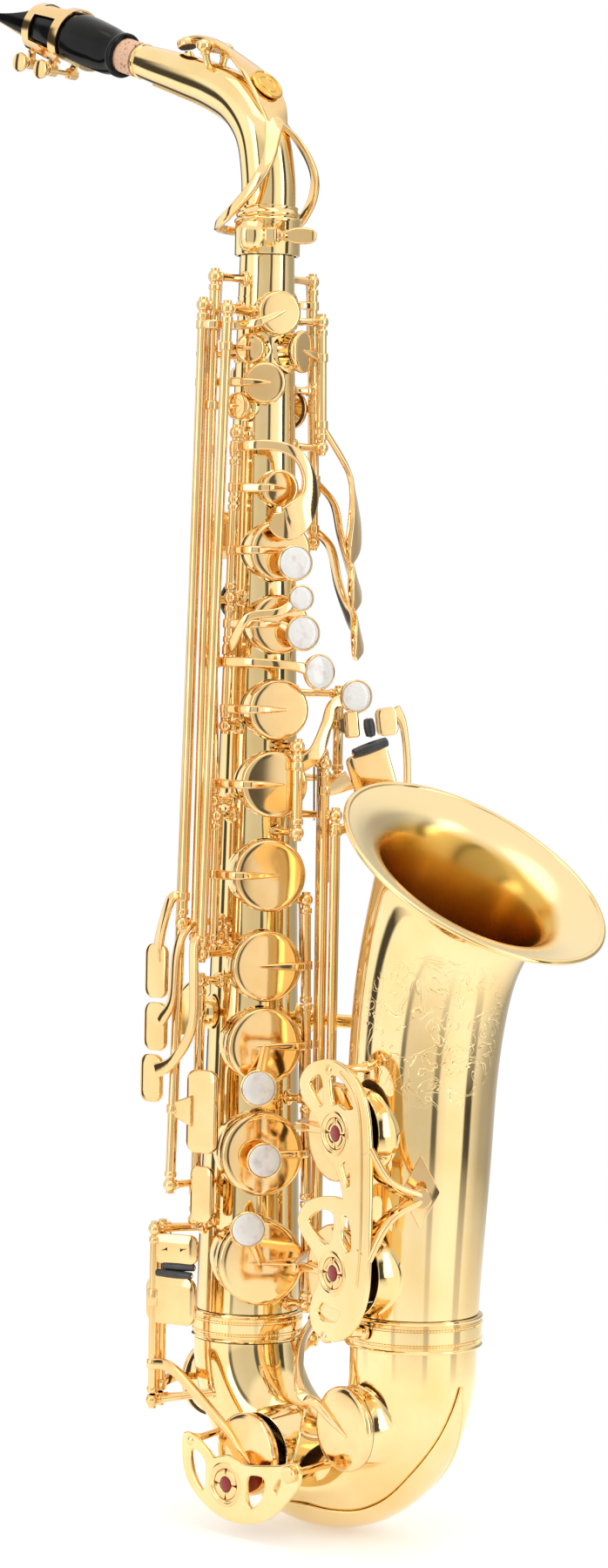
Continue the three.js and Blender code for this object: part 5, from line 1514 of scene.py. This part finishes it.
# Side keys: body, hole, tube ends, cup arm (height, points between, width), touch arm (height, points,
# widths, depth) and touch plate (radius, angle, top, bottom).
SIDES = [
    ("high_e_key", "high_e", (272.8, 539.6),
     (534.4, ((33.6, 0, 534.4), (24, 10, 534.4), (23.4, 34, 535.5)), 4),
     (281, ((46, -10, 280), (47.8, -15, 268), (48, -19, 258), (48, -20, 252)), [4.4, 4.8, 5, 6.5, 8],
      2.6),
     (48.2, -20, 259.5, 235.2)),
    ("side_c_key", "side_c", (266.4, 552.6), (499, (), 3.6),
     (268.8, ((44, -1, 266), (46, -5, 255), (46, -8, 235), (48, -15.5, 225.5)),
      [4.4, 4.4, 4.4, 4.6, 7], 2.4),
     (48.4, -19.4, 233.4, 211.8)),
    ("side_bb_key", "side_bb", (259.4, 537.6), (524.5, (), 3.6),
     (262.4, ((45.6, 8, 260), (45.6, 8, 226), (46.6, -4, 209), (48.5, -17, 203)),
      [4.4, 4.4, 4.4, 5, 7], 2.4),
     (48.9, -22.4, 210, 188.6)),
]


def side_keys():
    for body, hole, tube, (arm_z, via, arm_width), (z, path, widths, depth), plate in SIDES:
        via = [polar(*spot) for spot in via]
        path = [polar(*spot) for spot in path]
        key(body, HOLES[hole], tube, [
            cup_arm(body, HOLES[hole], arm_z, via, arm_width), branch(body, z, path, widths, depth),
            side_plate(*plate),
        ])
    body = "high_f_sharp_key"
    via = [polar(24.4, -8, 509.4), polar(23.6, 14, 509.4)]
    key(body, HOLES["high_f_sharp"], (155.4, 518.6), [
        cup_arm(body, HOLES["high_f_sharp"], 509.4, via, 4),
        branch(body, 186, [polar(39.5, 2, 186)], [6, 14]),
        slab(polar(37.6, 8.6, 186), outward(99), UP, 16, 37, 3, 4.6, 0.2),
    ])
    body = "trill_key"
    key(body, HOLES["trill"], (139.4, 239.6), [
        cup_arm(body, HOLES["trill"]), branch(body, 149, [polar(34.6, 2, 149)], [5, 11]),
        slab(polar(35.8, 7.6, 149), outward(98), UP, 12, 25, 3, 4, 0.2),
    ])


# Palm keys: body, hole, tube ends, heights of the cup's arm and the touch's arm, and the touch's
# points and widths.
PALMS = [
    ("palm_d_key", "palm_d", (485.4, 534.6), 522, 492,
     [(38, 144, 474), (41, 142, 462), (41.6, 138, 450), (41, 136, 438), (40, 135, 431)],
     [4.6, 6, 10, 13.5, 13, 5]),
    ("palm_eb_key", "palm_eb", (465.4, 504.6), 500, 468,
     [(38, 166, 458), (42, 166, 444), (43.4, 160, 432), (43.6, 150, 424), (43, 144, 416),
      (42, 141, 410)],
     [4.6, 5.4, 7, 10, 13, 12, 5]),
    ("palm_f_key", "palm_f", (443.4, 554.6), 547, 446,
     [(42.4, 176, 438), (45.4, 173, 422), (45.4, 164, 410), (45, 150, 402), (44.2, 141, 394),
      (43, 137, 388)],
     [4.6, 5.4, 7, 9.5, 12.5, 11.5, 5]),
]
PALM_FACE_AZ = 112


def palm_keys():
    for body, hole, tube, arm_z, touch_z, path, widths in PALMS:
        first, last = path[0][1], len(path)
        depths = [2.6] * (last - 2) + [3.4, 3.4, 2]
        turns = [first + (PALM_FACE_AZ - first) * min(1.3 * i / last, 1) for i in range(last + 1)]
        points = [polar(*spot) for spot in path]
        key(body, HOLES[hole], tube, [
            cup_arm(body, HOLES[hole], arm_z, width=4),
            branch(body, touch_z, points, widths, depths, [outward(turn) for turn in turns]),
        ])


# ------------------------------------------------------------------ little-finger keys
TABLE_N = outward(65)
TABLE_T = outward(150)


def on_table(t, z, n=33.0):
    overlap = TABLE_N.dot(TABLE_T)
    scale = 1 / (1 - overlap * overlap)
    flat = TABLE_N * (n - t * overlap) * scale + TABLE_T * (t - n * overlap) * scale
    return at(0, 0, z) + flat * MM


def table_plate(t0, t1, z0, z1, corner=2.2, rise=0.0):
    """A touch plate facing out of the table; `rise` tilts its long edge, in degrees."""
    corner_a, corner_b = on_table(t0, z0), on_table(t1, z0)
    across = (corner_b - corner_a).normalized()
    face = across.cross(UP)
    tilt = Matrix.Rotation(math.radians(rise), 3, face)
    centre = on_table((t0 + t1) / 2, (z0 + z1) / 2)
    width = (corner_b - corner_a).length / MM
    return slab(centre, tilt @ across, tilt @ UP, width, z1 - z0, 2.6, corner, 0.1)


def roller(name, body, a, b, radius):
    """A tapered roller on a pin; the pin is returned to go into the key's casting."""
    length = (b - a).length / MM
    part = lathe(a, b - a, solid(
        (radius * 0.6, 0.4), (radius * 0.82, 0.8), (radius * 0.96, length * 0.3), (radius, length / 2),
        (radius * 0.96, length * 0.7), (radius * 0.82, length - 0.8), (radius * 0.6, length - 0.4),
    ), 32)
    piece(name, part, ROLLER, body, key_turn(body))
    return rod(a, b, 0.8, 12)


def left_table():
    body = "g_sharp_touch"
    centre = polar(45, 114, 371)
    path = [on_table(16, 346, 37.5), on_table(22, 358, 34), on_table(26, 367, 31.4), centre]
    key(body, None, (314, 345.2), [
        branch(body, 340, path, [7.4, 7, 5.4, 5.4, 7], 2.5, TABLE_N),
        pearl_holder(centre, TABLE_N, 7.6),
    ])
    pearl(body, "g_sharp_pearl", centre, TABLE_N, 7.6)
    body = "low_bb_key"
    pin = roller("low_bb_roller", body, on_table(34.6, 345.4, 34.6), on_table(51.2, 351.4, 34.6), 2.6)
    key(body, HOLES["low_bb"], (115.4, 337.6), [
        cup_arm(body, HOLES["low_bb"], 124.8, [at(69, -36.5, 124.8)]),
        branch(body, 329, [on_table(27, 330, 30.5), on_table(34, 334)], [4.6, 6, 9], 2.4, TABLE_N),
        table_plate(34, 54, 328.5, 347, 2.6, 18), pin,
    ])
    body = "low_b_key"
    pin = roller("low_b_roller", body, on_table(41.4, 361.8, 34.6), on_table(43, 353, 34.6), 2.6)
    path = [on_table(45, 316), on_table(57, 319), on_table(60.4, 325)]
    edge = [on_table(t, z) for t, z in (
        (60.2, 322), (60.8, 332), (60.4, 344), (59.2, 354), (57.4, 361), (54, 365.6))]
    key(body, HOLES["low_b"], (175.4, 314.6), [
        cup_arm(body, HOLES["low_b"], 185.9, [at(69, -36.5, 185.9)]),
        branch(body, 311, path, [4.6, 5, 5, 5], 2.4, TABLE_N),
        strap(edge, [3.4, 3.2, 3.2, 3.2, 4, 6], 2.4, TABLE_N),
        table_plate(45.6, 55.6, 353.8, 366.4, 3, 8), pin,
    ])
    body = "low_c_sharp_key"
    key(body, HOLES["low_c_sharp"], (85.4, 341.6), [
        cup_arm(body, HOLES["low_c_sharp"], 90, [at(46, -14, 84), at(66, -35, 70)], 5),
    ])
    body = "low_c_sharp_touch"
    key(body, None, (337.4, 368.6), [
        branch(body, 358, [on_table(33, 358, 31)], [4.6, 8], 2.4, TABLE_N),
        table_plate(31, 37.8, 352.6, 364.4, 1.6, 6),
    ])


PINKY_N = outward(20)
PINKY_T = outward(110)


# Right little-finger keys: body, hole, cup arm height and bend, touch arm (height, reach, widths, half
# of its collar), touch plate (height, middle, width, height, corner) and roller (height, ends).
PINKIES = [
    ("low_c_key", "low_c", 71, (-2, -42.5, 70), (101, 6, [9, 14], 4), (100.2, 9, 25, 21.5, 5),
     "low_c_roller", (112.2, 1, 20)),
    ("low_eb_key", "low_eb", 61, (-31, -14, 60), (121, 8, [8, 12], 3), (123.2, 10, 22.5, 13.4, 4),
     "low_eb_roller", (115.6, 4, 20.5)),
]


def right_table():
    def spot(z, t, n=0.0):
        return rod_at("low_c_key", z) + (PINKY_T * t + PINKY_N * n) * MM

    for body, hole, arm_z, bend, touch, plate, roller_name, (roller_z, start, end) in PINKIES:
        pin = roller(roller_name, body, spot(roller_z, start, 0.6), spot(roller_z, end, 0.6), 1.9)
        z, reach, widths, half = touch
        plate_z, middle, width, height, corner = plate
        key(body, HOLES[hole], (57.9, 128), [
            cup_arm(body, HOLES[hole], arm_z, [at(*bend)], 5),
            branch(body, z, [spot(z, reach)], widths, 2.4, PINKY_N, half),
            slab(spot(plate_z, middle), PINKY_T, UP, width, height, 2.8, corner, 0.15), pin,
        ])


def octave_mechanism():
    body = "body_octave_key"
    pin = polar(18, 254, 568)
    path = [polar(23, 252, 545), polar(18.2, 254, 560), pin]
    key(body, HOLES["body_octave"], (453.4, 544.6), [
        cup_arm(body, HOLES["body_octave"], width=3.4), branch(body, 540, path, [4, 4, 3.4, 3], 2.2),
        rod(pin - UP * 2 * MM, pin + UP * 16 * MM, 1.2, 16),
    ])
    half = THUMB_AXIS * (THUMB_HALF - 3.4) * MM
    path = [back_point(*spot) for spot in ((436, 10.4), (438, 12), (446, 12.8), (453, 12))]
    key("thumb_octave_lever", None, None, [
        rod(THUMB_MIDDLE - half, THUMB_MIDDLE + half, ROD_R, 24),
        strap([THUMB_MIDDLE, *path], [7, 10, 15, 16, 12], [2.6, 2.6, 3, 3, 2], BACK_N),
    ])


# ------------------------------------------------------------------ small hardware on the body
def needle_springs():
    """Needle springs that run beside the rods from their posts."""
    parts = []
    for body, z, length in (
        ("b_key", 414, 22), ("b_key", 487, -20), ("g_key", 413, -26), ("g_sharp_key", 317, -22),
        ("f_key", 280, -26), ("f_key", 191, 20), ("f_key", 99, 24), ("high_e_key", 543, -30),
        ("side_c_key", 556, -28), ("side_bb_key", 541, -26), ("palm_d_key", 538, -20),
        ("palm_f_key", 558, -26), ("low_c_key", 131.4, -26), ("low_eb_key", 131.4, -26),
        ("low_b_key", 318, -30), ("low_bb_key", 341, -30), ("low_c_sharp_key", 345, -30),
    ):
        point = rod_at(body, z)
        inwards = -radial(point)
        a = point + inwards * (BALL_R + 0.6) * MM
        b = rod_at(body, z + length) + inwards * (BALL_R + 0.2) * MM
        parts.append(rod(a, b, 0.45, 8, 0.1))
    piece("needle_springs", merge(parts), STEEL, "root")


body_tube()
posts()
rings()
bow()
bow_guard()
bell()
receiver()
neck_screw()
neck()
octave_key()
mouthpiece()
reed()
ligature()
bell_guard()
low_c_guard()
bell_brace()
back_fittings()
main_stack()
offset_keys()
side_keys()
palm_keys()
left_table()
right_table()
octave_mechanism()
needle_springs()


# ------------------------------------------------------------------ studio
def floor():
    mesh = bpy.data.meshes.new("floor")
    mesh.from_pydata([(-2, -2, 0), (2, -2, 0), (2, 2, 0), (-2, 2, 0)], [], [(0, 1, 2, 3)])
    mesh.materials.append(floor_material())
    made = bpy.data.objects.new("floor", mesh)
    bpy.context.scene.collection.objects.link(made)


VIEW_AZ, VIEW_EL, VIEW_ROLL = 43.0, 2.2, 1.1
LENS_MM = 88
CAMERA_DISTANCE = 1725
AIM = at(0, 0, 331)


def camera():
    a, e, roll = (math.radians(x) for x in (VIEW_AZ, VIEW_EL, VIEW_ROLL))
    back = Vector((math.cos(e) * math.sin(a), -math.cos(e) * math.cos(a), math.sin(e)))
    right = Vector((math.cos(a), math.sin(a), 0))
    top = back.cross(right)
    aim = AIM + right * 21 * MM
    right_rolled = right * math.cos(roll) + top * math.sin(roll)
    top_rolled = top * math.cos(roll) - right * math.sin(roll)
    data = bpy.data.cameras.new("camera")
    data.sensor_fit = "VERTICAL"
    data.sensor_height = 36
    data.lens = LENS_MM
    data.clip_end = 50
    made = bpy.data.objects.new("camera", data)
    bpy.context.scene.collection.objects.link(made)
    matrix = Matrix((right_rolled, top_rolled, back)).transposed().to_4x4()
    matrix.translation = aim + back * CAMERA_DISTANCE * MM
    made.matrix_world = matrix
    bpy.context.scene.camera = made
    return back, right


def area(name, place, size, power):
    """A soft light that faces the horn's middle."""
    data = bpy.data.lights.new(name, "AREA")
    data.shape = "RECTANGLE"
    data.size, data.size_y = size
    data.energy = power
    made = bpy.data.objects.new(name, data)
    bpy.context.scene.collection.objects.link(made)
    made.location = place
    made.rotation_mode = "QUATERNION"
    made.rotation_quaternion = (AIM - place).to_track_quat("-Z", "Y")


# The room's brightness round the horizon, as (angle, level): softboxes with dark gaps between.
ROOM = [
    (-180, 0.5), (-128, 0.9), (-118, 0.12), (-106, 0.12), (-104, 1.1), (-80, 1.5), (-64, 1.5),
    (-61, 0.08), (-50, 0.08), (-48, 1.5), (2, 1.5), (4, 0.2), (9, 0.2), (11, 1.0), (34, 0.9),
    (52, 0.9), (57, 1.0), (59, 0.15), (66, 0.15), (68, 1.2), (84, 1.5), (112, 1.5), (114, 0.08),
    (126, 0.08), (128, 1.1), (150, 0.6), (180, 0.5),
]


def studio_world():
    """White to the camera; to everything else a softbox room with dark gaps, as brass needs."""
    world = bpy.data.worlds.new("studio")
    bpy.context.scene.world = world
    world.use_nodes = True
    world.node_tree.nodes.clear()
    nodes = Nodes(world.node_tree)
    split = nodes.add("SeparateXYZ", {"Vector": nodes.place("Generated")}).outputs
    turn = nodes.math("ARCTAN2", split["X"], nodes.math("MULTIPLY", split["Y"], -1))
    round_room = nodes.between(turn, 0, 1, -math.pi, math.pi)
    room = nodes.ramp(round_room, [
        ((az + 180) / 360, (level, level * 0.985, level * 0.95)) for az, level in ROOM
    ])
    overhead = nodes.between(split["Z"], 0, 1, 0.38, 0.55, interpolation_type="SMOOTHSTEP")
    sky = nodes.mix(overhead, room, (1.3, 1.28, 1.22))
    around = nodes.add("Background", {"Color": sky, "Strength": ROOM_LEVEL})
    seen = nodes.add("Background", {"Color": (1, 1, 1)})
    direct = nodes.add("LightPath", {}).outputs["Is Camera Ray"]
    choose = nodes.add("MixShader", {
        0: direct, 1: around.outputs["Background"], 2: seen.outputs["Background"],
    })
    nodes.add("OutputWorld", {"Surface": choose.outputs["Shader"]})


def floor_material():
    """A pale floor that fades into the white background away from the horn."""
    shader = Shader("floor_white")
    shader.set(
        Base_Color=(0.82, 0.82, 0.82), Roughness=0.8, Emission_Color=(1, 1, 1),
        Emission_Strength=FLOOR_GLOW,
    )
    away = shader.vector("LENGTH", "Value", shader.place())
    clear = shader.add("BsdfTransparent", {}).outputs["BSDF"]
    faded = shader.add("MixShader", {
        0: shader.between(away, 0, 1, 0.3, 0.9), 1: shader.bsdf.outputs["BSDF"], 2: clear,
    })
    shader.feed(shader.tree.nodes["Material Output"].inputs["Surface"], faded.outputs["Shader"])
    return shader.material


ROOM_LEVEL = 0.8
FLOOR_GLOW = 0.35


def studio():
    back, right = camera()
    floor()
    studio_world()
    level_back = Vector((back.x, back.y, 0)).normalized()
    area("key_left", AIM - right * 1.3 + level_back * 1.2 + UP * 0.5, (0.5, 1.6), 3.5)
    area("key_right", AIM + right * 1.4 + level_back * 0.7 + UP * 0.3, (0.35, 1.5), 3)
    area("top", AIM + UP * 1.6 + level_back * 0.4, (1.2, 1.2), 4)
    bpy.context.scene.view_settings.view_transform = "Standard"


studio()
